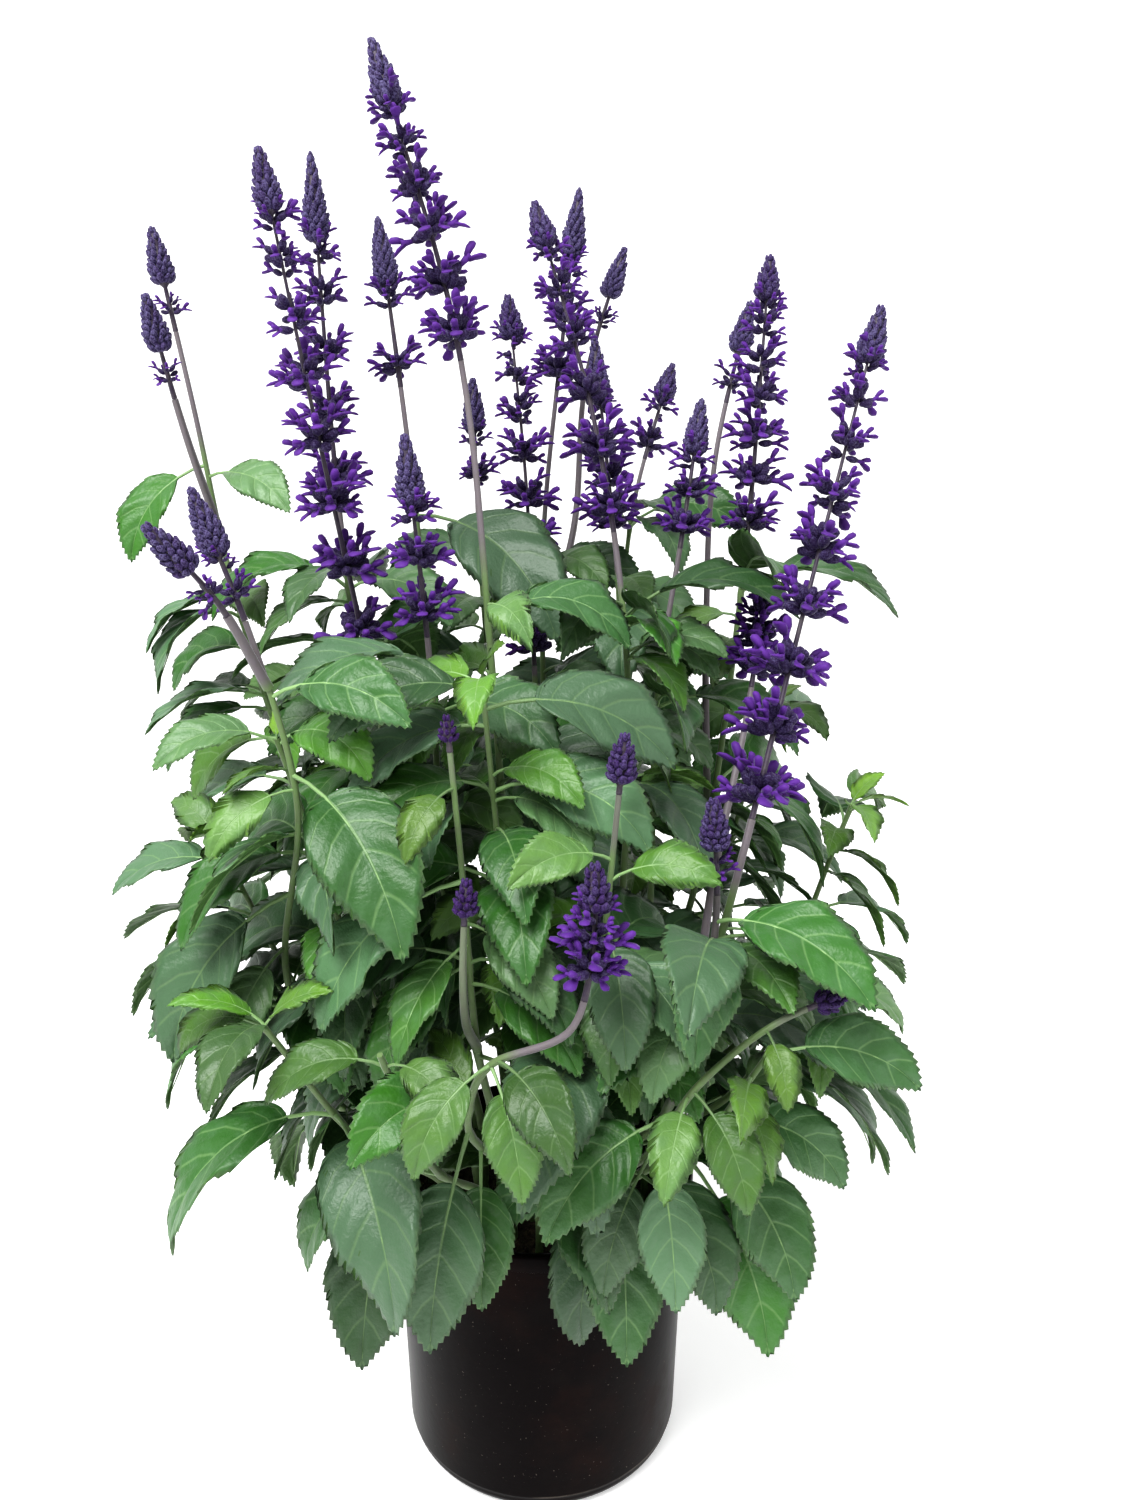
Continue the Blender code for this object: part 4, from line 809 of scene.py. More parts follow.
class PotLooks(bpy.types.PropertyGroup):
    """Colours of the pot and its soil."""

    plastic: colour("Plastic", "Moulded pot", (0.0026, 0.0012, 0.0014))
    worn: colour("Worn", "Rubbed and faded plastic", (0.026, 0.0075, 0.0040))
    # This colour is also painted along the ridge of the pot's step as a painted highlight
    dust_and_ridge_highlight: colour("Dust", "Dust and splashed soil on the pot", (0.220, 0.190, 0.160))
    soil: colour("Soil", "Damp potting soil", (0.030, 0.020, 0.013))
    crumbs: FloatProperty(name="Crumbs", description="Crumbs of bark on each square metre",
                          min=0, max=200000, default=70000)


class StageLooks(bpy.types.PropertyGroup):
    """Floor and light."""

    floor: colour("Floor", "Colour of the floor", (0.86, 0.86, 0.86))
    key_watts: power("Key light", "Power of the large soft light, above on the left", 84)
    fill_watts: power("Fill light", "Power of the low light from the right", 9)
    glow: FloatProperty(name="Glow", description="Light that the backdrop gives off itself",
                        min=0, default=0.36)
    sky: FloatProperty(name="Sky", description="Strength of the light from all around",
                       min=0, default=0.52)


class Room:
    """The solids that leaves keep clear of, with the corners of their boxes kept for a quick first test."""

    def __init__(self):
        self.lows, self.highs, self.trees = [], [], []

    def add(self, shape):
        """Take up the space of a boxed solid."""
        low, high, tree = shape
        self.lows.append(low)
        self.highs.append(high)
        self.trees.append(tree)

    def has_place_for(self, shape):
        """Whether a boxed solid crosses nothing."""
        low, high, tree = shape
        near = np.all(np.array(self.lows) <= high, 1) & np.all(np.array(self.highs) >= low, 1)
        return not any(tree.overlap(self.trees[i]) for i in np.flatnonzero(near))


def bent_clear(leaf, room, clear):
    """The leaf as wanted or, where it would touch something, turned, raised or smaller, or None."""
    for size, rise, turn in TRIES:
        tried = leaf._replace(
            azimuth=leaf.azimuth + math.radians(turn), rise=leaf.rise + math.radians(rise),
            petiole=leaf.petiole * size, blade=leaf.blade * size, width=leaf.width * size)
        shape = boxed(*leaf_mesh(tried, clear, min(OWN_STEM, 0.5 * tried.petiole)))
        if shape[0][2] > LOWEST_LEAF and room.has_place_for(shape):
            return tried, shape
    return None, None


def grow(wanted, room, grown, clear, allowed=lambda shape: True):
    """Add to the grown leaves each wanted one that finds a place in the room."""
    for leaf in wanted:
        placed, shape = bent_clear(leaf, room, clear)
        if placed and allowed(shape):
            grown.append(placed)
            room.add(shape)


def in_cad_box(shape):
    """Whether a boxed solid stays in the packed model's box and above the pot."""
    low, high, _ = shape
    return low[2] > FILL_LOWEST and all(low[i] >= CAD_LOW[i] and high[i] <= CAD_HIGH[i] for i in range(3))


def small_leaf(shoot, point, heading, blade, rise, droop, chance):
    """One young or filling leaf, with its angles given in degrees."""
    outward = open_side(point)
    azimuth = turned_outward(math.radians(heading), outward)
    return Leaf(
        stem=shoot.name, point=point, azimuth=azimuth,
        rise=math.radians(rise + chance.uniform(*RISE_RANGE)),
        droop=math.radians(droop + chance.uniform(*SMALL_DROOP_RANGE)),
        petiole=blade * chance.uniform(*SMALL_PETIOLE_RANGE), blade=blade,
        width=blade * LEAF_WIDTH_SHARE * chance.uniform(*SMALL_WIDTH_RANGE),
        roll=light_roll(point, azimuth, outward) + math.radians(chance.uniform(*SMALL_ROLL_RANGE)))


def tuft_leaves(shoot, path, chance):
    """The crowded pairs of small leaves that end a leafy shoot."""
    for pair, (blade, rise, droop, below) in enumerate(() if shoot.spike else TUFT):
        point = path.at(path.length - below * MM)
        for facing in (0, 180):
            heading = shoot.turn + 90 * pair + facing + chance.uniform(*TUFT_TURN)
            yield small_leaf(shoot, point, heading, blade * chance.uniform(*TUFT_SIZE), rise, droop, chance)


def axil_leaves(shoot, path, chance):
    """The young leaves that stand between each pair of large ones and the stem."""
    low, high = leafy_stretch(shoot, path, shoot.leaf_low, shoot.leaf_high)
    for pair in range(shoot.pairs):
        point = path.at(low + (high - low) * pair / max(shoot.pairs - 1, 1) + AXIL_ABOVE)
        for facing in (0, 90, 180, 270):
            heading = shoot.turn + 90 * pair + facing + chance.uniform(*AXIL_TURN)
            blade = chance.uniform(*AXIL_BLADE) * (AXIL_UNDER_LEAF if facing % 180 == 0 else AXIL_BESIDE)
            yield small_leaf(shoot, point, heading, blade, *AXIL_STANCE, chance)


def filling_leaves(shoot, path, chance):
    """Leaves of a middling size between the pairs, where the plant is dense."""
    if not shoot.pairs:
        return
    low, high = leafy_stretch(shoot, path, max(shoot.leaf_low - FILL_BELOW, FILL_FROM),
                              shoot.leaf_high + FILL_ABOVE, FILL_SHORT)
    for _ in range(FILL_TRIES):
        point = path.at(chance.uniform(low, high))
        heading, blade = chance.uniform(0, 360), chance.uniform(*FILL_BLADE)
        leaf = small_leaf(shoot, point, heading, blade, *FILL_STANCE, chance)
        if point.y > OPEN_FRONT or point.z > OPEN_BELOW:
            yield leaf


def all_leaves(paths, seed):
    """The packed solids' leaves, and the small, young and filling ones that find room among them."""
    room, grown = Room(), []
    for shape in obstacles(paths):
        room.add(shape)
    grow(front_leaves(paths, FRONT_LEAVES) + wanted_leaves(paths), room, grown, CLEAR)
    grow(front_leaves(paths, GAP_LEAVES), room, grown, SMALL_CLEAR)
    chance = random.Random(seed)
    for kind in (tuft_leaves, filling_leaves, axil_leaves):
        for shoot, path in zip(SHOOTS, paths):
            grow(kind(shoot, path, chance), room, grown, SMALL_CLEAR, in_cad_box)
    return grown


def blade_grid(teeth, columns):
    """Rows along and columns across a blade, closed underneath: (along, across) of each vertex, which tooth
    place it has (0 valley, 1 tip), whether it is below, and the faces. The rim is shared by both sides."""
    rows = 2 * teeth + 1
    top = np.arange((rows + 1) * len(columns)).reshape(rows + 1, len(columns))
    below = top.copy()
    inner = (rows - 1) * (len(columns) - 2)
    below[1:-1, 1:-1] = top.size + np.arange(inner).reshape(rows - 1, len(columns) - 2)
    along, across = np.meshgrid(np.arange(rows + 1) / rows, columns, indexing="ij")
    tip = np.broadcast_to((np.arange(rows + 1) % 2)[:, None], along.shape)
    phase = np.broadcast_to(np.arange(rows + 1)[:, None] % VEIN_ROWS, along.shape)
    grid = [np.concatenate([part.ravel(), part[1:-1, 1:-1].ravel()]) for part in (along, across, tip, phase)]
    under = np.repeat([0.0, 1.0], [top.size, inner])

    def quads(index, turned):
        corners = [index[:-1, :-1], index[:-1, 1:], index[1:, 1:], index[1:, :-1]]
        return np.stack([c.ravel() for c in (corners[::-1] if turned else corners)], 1)

    faces = np.concatenate([quads(top, True), quads(below, False)])
    half = len(faces) // 2
    return (*grid, under), faces, np.repeat([0.0, 1.0], [half, half])


def leaf_place(leaf, distance):
    """Centre, side and normal of a leaf at distances from its root, for arrays of them."""
    total = leaf.petiole + leaf.blade
    bend = leaf.droop / total
    slope = leaf.rise - bend * distance
    heading = np.array([math.cos(leaf.azimuth), math.sin(leaf.azimuth), 0.0])
    level = np.array([-math.sin(leaf.azimuth), math.cos(leaf.azimuth), 0.0])
    up = np.array([0.0, 0.0, 1.0])
    out = (math.sin(leaf.rise) - np.sin(slope)) / bend
    rise = (np.cos(slope) - math.cos(leaf.rise)) / bend
    centre = np.array(leaf.point) - heading * LEAF_SUNK + out[:, None] * heading + rise[:, None] * up
    tangent = np.cos(slope)[:, None] * heading + np.sin(slope)[:, None] * up
    turn = (leaf.roll * distance / total)[:, None]
    side = level * np.cos(turn) + np.cross(tangent, level) * np.sin(turn)
    return centre, side, np.cross(tangent, side)


def grown_to(least, scale):
    """A measure that a small leaf has the least share of and a full-grown one has all of."""
    return least + (1 - least) * scale


def margin_wave(across, along, chance):
    """Waves along a blade, with other ones on each side of its midrib."""
    phases = [chance.uniform(0, math.tau) for _ in range(4)]
    side = (across > 0).astype(int)
    long_wave = np.sin(math.tau * LONG_WAVES * along + np.take(phases[:2], side))
    return long_wave + 0.5 * np.sin(math.tau * SHORT_WAVES * along + np.take(phases[2:], side))


def upper_face(looks, half, lean, wave, phase, scale):
    """Height of a blade's upper face: margins that rise and wave, swellings between veins, and a groove."""
    lift = LEAF_RISE * half * (1.25 * lean - 0.25 * lean ** 3) + looks.wave * half * wave * lean ** WAVE_POWER
    ribbed = np.cos(math.tau * phase / VEIN_ROWS) * np.sin(math.pi * np.clip(lean, 0, 1)) ** SWELL_POWER
    relief = -looks.quilting * scale * ribbed
    groove = -GROOVE_DEPTH * scale * np.exp(-(lean / GROOVE_WIDTH) ** 2)
    return lift + relief + groove


class LeafSkin:
    """Vertices, faces and attributes of many leaves, gathered into one mesh."""

    def __init__(self, looks):
        self.looks = looks
        self.large = blade_grid(looks.teeth, np.array(LARGE_COLUMNS))
        self.small = blade_grid(SMALL_TEETH, np.array(SMALL_COLUMNS))
        self.verts, self.faces, self.place, self.tone, self.under = [], [], [], [], []
        self.count = 0

    def add(self, verts, faces, place, tone, under):
        """Take in one shape, with its place on the leaf and its leaf's age and chance."""
        self.verts.append(verts)
        self.faces.append(faces + self.count)
        self.place.append(place)
        self.tone.append(np.broadcast_to(np.array(tone), (len(verts), 3)))
        self.under.append(under)
        self.count += len(verts)

    def add_blade(self, leaf, chance, tone):
        """The blade: toothed, waved, raised between its veins, with a groove above its midrib."""
        looks = self.looks
        grid, faces, below = self.small if leaf.blade < SMALL_LEAF else self.large
        along, across, tip, phase, under = grid
        scale = min(1.0, leaf.blade / FULL_BLADE)
        lean = np.abs(across)
        eased = along ** ROW_EASE
        arched = eased ** (1 + VEIN_ARCH * (1 - lean ** ARCH_POWER))
        forward = TOOTH_FORWARD / (2 * looks.teeth) * tip * lean ** 6
        u = np.clip(arched + forward, 0.0, 1.0)
        half = half_width(leaf, np.clip(eased, *WIDTH_LIMITS))
        deepest = np.minimum(looks.tooth * grown_to(LEAST_TOOTH, scale), TOOTH_SHARE * half)
        tooth = deepest * (2 * tip - 1) * lean ** 8
        width = across * half * math.cos(LEAF_FOLD) + np.sign(across) * tooth * (eased > TOOTHED_FROM)
        thick = (BLADE_THICK + RIB_THICK * np.exp(-(lean / RIB_WIDTH) ** 2)) * MM
        thick = thick * grown_to(LEAST_THICK, scale)
        wave = margin_wave(across, eased, chance)
        height = upper_face(looks, half, lean, wave, phase, scale) - under * thick
        centre, out, normal = leaf_place(leaf, leaf.petiole + u * leaf.blade)
        verts = centre + width[:, None] * out + height[:, None] * normal
        place = np.stack([across, eased, np.full_like(eased, leaf.blade / (100 * MM))], 1)
        self.add(verts, faces, place, tone, below)

    def add_stalk(self, leaf, tone):
        """The stalk, which runs on under the blade as its midrib and thins to its tip."""
        in_stalk, in_blade, radius, sunk = np.array(RIB_RINGS).T
        scale = min(1.0, 0.35 + leaf.blade / (110 * MM))
        radius = radius * MM * scale
        sunk = sunk * MM * scale
        centre, out, normal = leaf_place(leaf, in_stalk * leaf.petiole + in_blade * leaf.blade)
        angle = math.tau * np.arange(RIB_SIDES) / RIB_SIDES + math.pi / 2
        level, upward = np.cos(angle)[:, None] * out[:, None], np.sin(angle)[:, None] * normal[:, None]
        verts = (centre - sunk[:, None] * normal)[:, None] + radius[:, None, None] * (level + upward)
        index = np.arange(len(RIB_RINGS) * RIB_SIDES).reshape(-1, RIB_SIDES)
        turned_index = np.roll(index, -1, 1)
        quads = [index[:-1], turned_index[:-1], turned_index[1:], index[1:]]
        quads = np.stack(quads, 2).reshape(-1, 4)
        verts = verts.reshape(-1, 3)
        place = np.zeros_like(verts)
        place[:, 1] = -1.0
        self.add(verts, quads, place, tone, np.zeros(len(quads)))

    def make_mesh(self, name):
        """The mesh, with what its material reads as attributes."""
        mesh = bpy.data.meshes.new(name)
        mesh.from_pydata(np.concatenate(self.verts).tolist(), [], np.concatenate(self.faces).tolist())
        write_attribute(mesh, "leaf_place", "FLOAT_VECTOR", "POINT", np.concatenate(self.place))
        write_attribute(mesh, "leaf_tone", "FLOAT_VECTOR", "POINT", np.concatenate(self.tone))
        write_attribute(mesh, "underside", "FLOAT", "FACE", np.concatenate(self.under))
        return mesh


def write_attribute(mesh, name, kind, domain, values):
    """Store an array on a mesh."""
    layer = mesh.attributes.new(name, kind, domain)
    layer.data.foreach_set("vector" if kind == "FLOAT_VECTOR" else "value",
                           np.asarray(values, np.float32).ravel())


def new_object(name, mesh):
    """Link a mesh as an object of the scene."""
    made = bpy.data.objects.new(name, mesh)
    bpy.context.scene.collection.objects.link(made)
    return made


def dress(piece, slot, *nodes):
    """Let a finished piece stand for its packed nodes and ride with them."""
    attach(piece, "root")
    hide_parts(*nodes)


# Node trees
def node(tree, kind, values=(), **settings):
    """A new node with its settings, and with values for its inputs by name or number."""
    made = tree.nodes.new(kind)
    for name, value in settings.items():
        setattr(made, name, value)
    for key, value in dict(values).items():
        if isinstance(value, bpy.types.NodeSocket):
            tree.links.new(value, made.inputs[key])
        else:
            made.inputs[key].default_value = value
    return made


def output_of(tree, kind, output, values=(), **settings):
    """An output of a new node."""
    return node(tree, kind, values, **settings).outputs[output]


def growing_tree(name, inputs):
    """A geometry tree with named inputs: (name, type of socket, default or None)."""
    tree = bpy.data.node_groups.new(name, "GeometryNodeTree")
    tree.interface.new_socket("Geometry", in_out="INPUT", socket_type="NodeSocketGeometry")
    tree.interface.new_socket("Geometry", in_out="OUTPUT", socket_type="NodeSocketGeometry")
    for label, kind, default in inputs:
        socket = tree.interface.new_socket(label, in_out="INPUT", socket_type="NodeSocket" + kind)
        if default is not None:
            socket.default_value = default
    return tree, node(tree, "NodeGroupInput").outputs


def finish_tree(tree, geometry):
    """Join a geometry to the tree's output."""
    node(tree, "NodeGroupOutput", {"Geometry": geometry})
    return tree


def apply_modifier(obj, step):
    """Make an object's mesh what a modifier makes of it, and take the modifier off."""
    bpy.context.view_layer.update()
    shaped = bpy.data.meshes.new_from_object(obj.evaluated_get(bpy.context.evaluated_depsgraph_get()))
    obj.modifiers.remove(step)
    obj.data = shaped


def run_tree(obj, tree, values):
    """Apply a geometry tree to an object as a plain mesh."""
    step = obj.modifiers.new(tree.name, "NODES")
    step.node_group = tree
    for item in tree.interface.items_tree:
        if item.item_type == "SOCKET" and item.in_out == "INPUT" and item.name in values:
            step[item.identifier] = values[item.name]
    apply_modifier(obj, step)


def named(tree, name, kind="FLOAT"):
    """The attribute of that name, in a geometry tree."""
    return output_of(tree, "GeometryNodeInputNamedAttribute", "Attribute", {"Name": name}, data_type=kind)


def is_below(tree, value, limit):
    """Whether a value is below a limit, in a geometry tree."""
    return output_of(tree, "FunctionNodeCompare", "Result", {"A": value, "B": limit}, operation="LESS_THAN")


def math_of(tree, operation, a, b=0.0, clamp=False):
    """One sum of two values."""
    return output_of(tree, "ShaderNodeMath", 0, {0: a, 1: b}, operation=operation, use_clamp=clamp)


def is_near(tree, value, number):
    """Whether a value is near a whole number, in a geometry tree."""
    off = math_of(tree, "SUBTRACT", value, float(number))
    return is_below(tree, math_of(tree, "ABSOLUTE", off), 0.25)


def tubes(tree, given):
    """Square tubes with rounded corners along mesh lines, as thick as their thickness attribute says."""
    lines, side = given["Geometry"], given["Side"]
    curve = output_of(tree, "GeometryNodeMeshToCurve", "Curve", {"Mesh": lines})
    square = output_of(tree, "GeometryNodeCurvePrimitiveQuadrilateral", "Curve",
                       {"Width": side, "Height": side})
    corner = math_of(tree, "MULTIPLY", side, given["Rounding"])
    profile = output_of(tree, "GeometryNodeFilletCurve", "Curve",
                        {"Curve": square, "Radius": corner, "Count": 1}, mode="POLY")
    return output_of(tree, "GeometryNodeCurveToMesh", "Mesh", {
        "Curve": curve, "Profile Curve": profile, "Scale": named(tree, "thickness"), "Fill Caps": True})


def joined(tree, *shapes):
    """Several geometries as one."""
    whole = node(tree, "GeometryNodeJoinGeometry")
    for shape in shapes:
        tree.links.new(shape, whole.inputs["Geometry"])
    return whole.outputs["Geometry"]


def smoothed(tree, shape):
    """A geometry shaded smooth."""
    return output_of(tree, "GeometryNodeSetShadeSmooth", "Geometry", {"Geometry": shape})


def realized(tree, shape):
    """A geometry with its copies made real."""
    return output_of(tree, "GeometryNodeRealizeInstances", "Geometry", {"Geometry": shape})


def painted(tree, shape, finish, part=True):
    """A geometry with a material on all or part of it."""
    return output_of(tree, "GeometryNodeSetMaterial", "Geometry",
                     {"Geometry": shape, "Selection": part, "Material": finish})


def shape_of(tree, thing):
    """The geometry of an object."""
    return output_of(tree, "GeometryNodeObjectInfo", "Geometry", {"Object": thing})


def copied(tree, points, thing, turn, size, chosen=True):
    """Copies of an object on the chosen points, turned and sized."""
    turn = output_of(tree, "FunctionNodeEulerToRotation", "Rotation", {"Euler": turn})
    return output_of(tree, "GeometryNodeInstanceOnPoints", "Instances", {
        "Points": points, "Selection": chosen, "Instance": shape_of(tree, thing), "Rotation": turn,
        "Scale": size})


def foliage_tree():
    """Stems along their paths, joined with the leaves that were grown on them."""
    tree, given = growing_tree("Leafy stems", (
        ("Leaves", "Object", None), *TUBE_INPUTS, ("Stem finish", "Material", None),
        ("Leaf finish", "Material", None)))
    stems = output_of(tree, "GeometryNodeStoreNamedAttribute", "Geometry",
                      {"Geometry": tubes(tree, given), "Name": "is_stem", "Value": 1.0})
    whole = realized(tree, smoothed(tree, joined(tree, shape_of(tree, given["Leaves"]), stems)))
    leaf_part = is_below(tree, named(tree, "is_stem"), 0.5)
    whole = painted(tree, whole, given["Stem finish"])
    return finish_tree(tree, painted(tree, whole, given["Leaf finish"], leaf_part))


def spike_tree():
    """Cups, open flowers and buds on their points, and the stalk through them."""
    kinds = ("Cup", "Flower", "Bud")
    tree, given = growing_tree("Flower spikes", (
        *((kind, "Object", None) for kind in kinds), *TUBE_INPUTS, ("Stalk finish", "Material", None),
        ("Flower finish", "Material", None)))
    shapes = []
    for number, kind in enumerate(kinds):
        chosen = is_near(tree, named(tree, "kind"), number)
        turn, size = named(tree, "stance", "FLOAT_VECTOR"), named(tree, "size")
        shapes.append(copied(tree, given["Geometry"], given[kind], turn, size, chosen))
    whole = realized(tree, smoothed(tree, joined(tree, *shapes, tubes(tree, given))))
    stalk_part = is_below(tree, named(tree, "kind"), -0.5)
    whole = painted(tree, whole, given["Flower finish"])
    return finish_tree(tree, painted(tree, whole, given["Stalk finish"], stalk_part))


def crumb_tree():
    """Crumbs of bark scattered over the soil's top."""
    tree, given = growing_tree("Soil crumbs", (
        ("Crumb", "Object", None), ("Crumbs a square metre", "Float", 1000.0), ("Seed", "Int", 0),
        ("Finish", "Material", None)))
    soil, seed = given["Geometry"], given["Seed"]
    upward = output_of(tree, "ShaderNodeSeparateXYZ", "Z",
                       {0: output_of(tree, "GeometryNodeInputNormal", "Normal")})
    top = output_of(tree, "FunctionNodeCompare", "Result", {"A": upward, "B": 0.5}, operation="GREATER_THAN")
    points = output_of(tree, "GeometryNodeDistributePointsOnFaces", "Points", {
        "Mesh": soil, "Selection": top, "Density": given["Crumbs a square metre"], "Seed": seed})
    spin, size = (output_of(tree, "FunctionNodeRandomValue", "Value", {"Min": low, "Max": high, "Seed": seed},
                            data_type="FLOAT_VECTOR")
                  for low, high in (((0, 0, 0), (math.tau,) * 3), CRUMB_SIZES))
    crumbs = copied(tree, points, given["Crumb"], spin, size)
    return finish_tree(tree, painted(tree, realized(tree, joined(tree, crumbs, soil)), given["Finish"]))


def lofted(rings, sides, shade):
    """Closed skin through oval rings. Shade is 0 for a cup, 0.5 for a bud and 1 for petals."""
    reach = max(ring[0] for ring in rings)
    verts, bloom = [], []
    for out, height, wide, thick in rings:
        for k in range(sides):
            angle = math.tau * (k + 0.5) / sides
            verts.append((wide * math.cos(angle) * MM, (height + thick * math.sin(angle)) * MM, out * MM))
            bloom.append((shade, out / reach, 0.0))
    last = (len(rings) - 1) * sides
    caps = [tuple(range(sides))[::-1], tuple(range(last, last + sides))]
    return verts, [*ring_quads(len(rings), sides), *caps], bloom


def template(name, shapes):
    """A small shape to copy, made of lofted skins, out of the render's sight."""
    verts, faces, bloom = [], [], []
    for more_verts, more_faces, more_bloom in shapes:
        faces += [tuple(len(verts) + i for i in face) for face in more_faces]
        verts += more_verts
        bloom += more_bloom
    mesh = bpy.data.meshes.new(name)
    mesh.from_pydata(verts, [], faces)
    write_attribute(mesh, "bloom", "FLOAT_VECTOR", "POINT", bloom)
    return new_object(name, mesh)


def stance(direction, up):
    """Turn that lays a template's z along a direction, with its y as near up as it can be."""
    across = up.cross(direction).normalized()
    return Matrix((across, direction.cross(across), direction)).transposed().to_euler()


class Points:
    """Points and lines with the attributes that the trees read."""

    def __init__(self):
        self.verts, self.edges, self.values = [], [], []

    def add_point(self, at, kind, turn, size, tone):
        """A place for one copy of a template."""
        self.verts.append(at)
        self.values.append((kind, size, tone, 0.0, *turn, 0.0))

    def add_line(self, path, marks, thickness, ripeness, tone):
        """A stalk along a path."""
        start = len(self.verts)
        for mark, thick, ripe in zip(marks, thickness, ripeness):
            self.verts.append(path.at(mark))
            self.values.append((KIND_STALK, 1.0, tone, thick, 0.0, 0.0, 0.0, ripe))
        self.edges += [(i, i + 1) for i in range(start, len(self.verts) - 1)]

    def make_mesh(self, name):
        """The mesh, with its attributes."""
        mesh = bpy.data.meshes.new(name)
        mesh.from_pydata([tuple(v) for v in self.verts], self.edges, [])
        values = np.array(self.values)
        for column, label in enumerate(("kind", "size", "tone", "thickness")):
            write_attribute(mesh, label, "FLOAT", "POINT", values[:, column])
        write_attribute(mesh, "stance", "FLOAT_VECTOR", "POINT", values[:, 4:7])
        write_attribute(mesh, "ripeness", "FLOAT", "POINT", values[:, 7])
        return mesh


def level_way(path, distance, angle):
    """The direction across a path at an angle, and the path's own direction."""
    tangent = path.tangent(distance)
    side, up = ring_frame(tangent)
    return math.cos(angle) * side + math.sin(angle) * up, tangent


def lifted(level, tangent, lift):
    """A direction across a path that is raised by an angle."""
    return (level * math.cos(lift) + tangent * math.sin(lift)).normalized()


def add_stem(points, shoot, path, leafy_to, looks, tone):
    """The stem of a shoot, green as far up as its leaves go, and its bare stalk, which ripens to mauve."""
    end = stem_end(shoot, path)
    marks = even_marks(0.0, end, max(4, round(end / STEM_STEP)))
    thick_at = stem_radius(path)
    low, high = leafy_stretch(shoot, path, shoot.leaf_low, shoot.leaf_high, 0)
    joints = [low + (high - low) * k / max(shoot.pairs - 1, 1) for k in range(shoot.pairs)]
    ripens_in = max(1 * MM, min(RIPENS_IN * end, RIPENS_ABOVE * (end - leafy_to)))
    thickness, ripeness = [], []
    for mark in marks:
        swollen = sum(math.exp(-((mark - joint) / JOINT_LENGTH) ** 2) for joint in joints)
        thickness.append(STEM_SIDE * thick_at(mark) * (1 + looks.joint * min(swollen, 1)))
        ripened = min(1.0, max(0.0, mark - leafy_to) / ripens_in)
        ripeness.append(0.5 * ripened * min(1.0, shoot.spike / RIPE_SPIKE))
    points.add_line(path, marks, thickness, ripeness, tone)


def add_whorls(points, shoot, path, looks, chance):
    """Rings of cups, most of them with an open flower."""
    for mark, reach in whorl_marks(shoot, path):
        size = reach / WHORL_REACH
        count = max(6, round(looks.whorl * size))
        first = chance.uniform(0, math.tau)
        young = max(0.0, 1 - (path.length - mark) / (shoot.spike * CM))
        jitter = (CUP_BLUR + WHORL_BLUR * young) * MM
        for k in range(count):
            upper = k % 2
            at = mark + RING_HEIGHTS[upper] + chance.uniform(-jitter, jitter)
            level, tangent = level_way(path, at, first + math.tau * k / count + chance.uniform(*CUP_TURN))
            lift = math.radians(chance.uniform(*RING_LIFTS[upper]))
            turn = stance(lifted(level, tangent, lift), tangent)
            place = path.at(at) + CUP_START * level
            grown = size * chance.uniform(*CUP_SIZE)
            tone = chance.random()
            points.add_point(place, KIND_CUP, turn, grown, tone)
            if chance.random() < looks.open_share:
                points.add_point(place, KIND_FLOWER, turn, grown * chance.uniform(*FLOWER_SIZE), tone)


def head_radius(shoot, share_up):
    """Radius of the head of buds at a share of the way from its foot to its tip."""
    widest = min(HEAD_RADIUS, HEAD_SLENDER * shoot.head * CM) + 0.6 * MM
    swell = math.sin(math.pi * min(0.5, HEAD_FOOT + 0.8 * share_up))
    return widest * swell * (1 - HEAD_THINNING * share_up ** 1.4)


def add_head(points, shoot, path, chance):
    """The cone of velvety buds that tops a spike, smaller and more upright towards its tip."""
    head = shoot.head * CM
    greyest = min(1.0, (shoot.head / GREY_HEAD) ** 2)
    rows = max(4, round(head / BUD_ROW))
    for row in range(rows):
        up = (row + 0.4) / rows
        at = path.length - head * (1 - 0.9 * up)
        radius = head_radius(shoot, up)
        size = (0.96 - 0.40 * up) * min(1.0, head / SMALL_HEAD)
        count = max(4, round(math.tau * max(radius - 2 * MM, 1 * MM) / (BUD_ACROSS * size)))
        for k in range(count):
            angle = math.tau * (k + 0.5 * (row % 2)) / count + chance.uniform(*BUD_TURN)
            level, tangent = level_way(path, at, angle)
            rising = math.radians(BUD_LIFT + BUD_RISES * up) + chance.uniform(*BUD_TURN)
            base = max(0.5 * MM, radius - BUD_LENGTH * size * math.cos(rising))
            points.add_point(path.at(at) + base * level, KIND_BUD,
                             stance(lifted(level, tangent, rising), tangent),
                             size * chance.uniform(*BUD_SIZE), greyest * chance.uniform(0.5, 1))
    for below in TIP_BUDS:
        turn = stance(path.tangent(path.length), TO_VIEWER)
        points.add_point(path.at(path.length - below * MM), KIND_BUD, turn, TIP_BUD_SIZE, greyest)


def add_spike(points, shoot, path, looks, chance):
    """A whole spike: its stalk, whorls and head."""
    start = stem_end(shoot, path) + SEAT_GAP
    marks = even_marks(start, path.length - 1.5 * MM, max(4, round((path.length - start) / STEM_STEP)))
    thickness = []
    for mark in marks:
        up_head = 1 - (path.length - mark) / (shoot.head * CM)
        core = HEAD_CORE * head_radius(shoot, up_head) if up_head > 0.04 else 0.0
        thinned = 1 - STALK_THINNING * (mark - start) / (path.length - start)
        thickness.append(max(core, STALK_THICK * thinned))
    points.add_line(path, marks, thickness, [1.0] * len(marks), 0.5)
    add_whorls(points, shoot, path, looks, chance)
    add_head(points, shoot, path, chance)


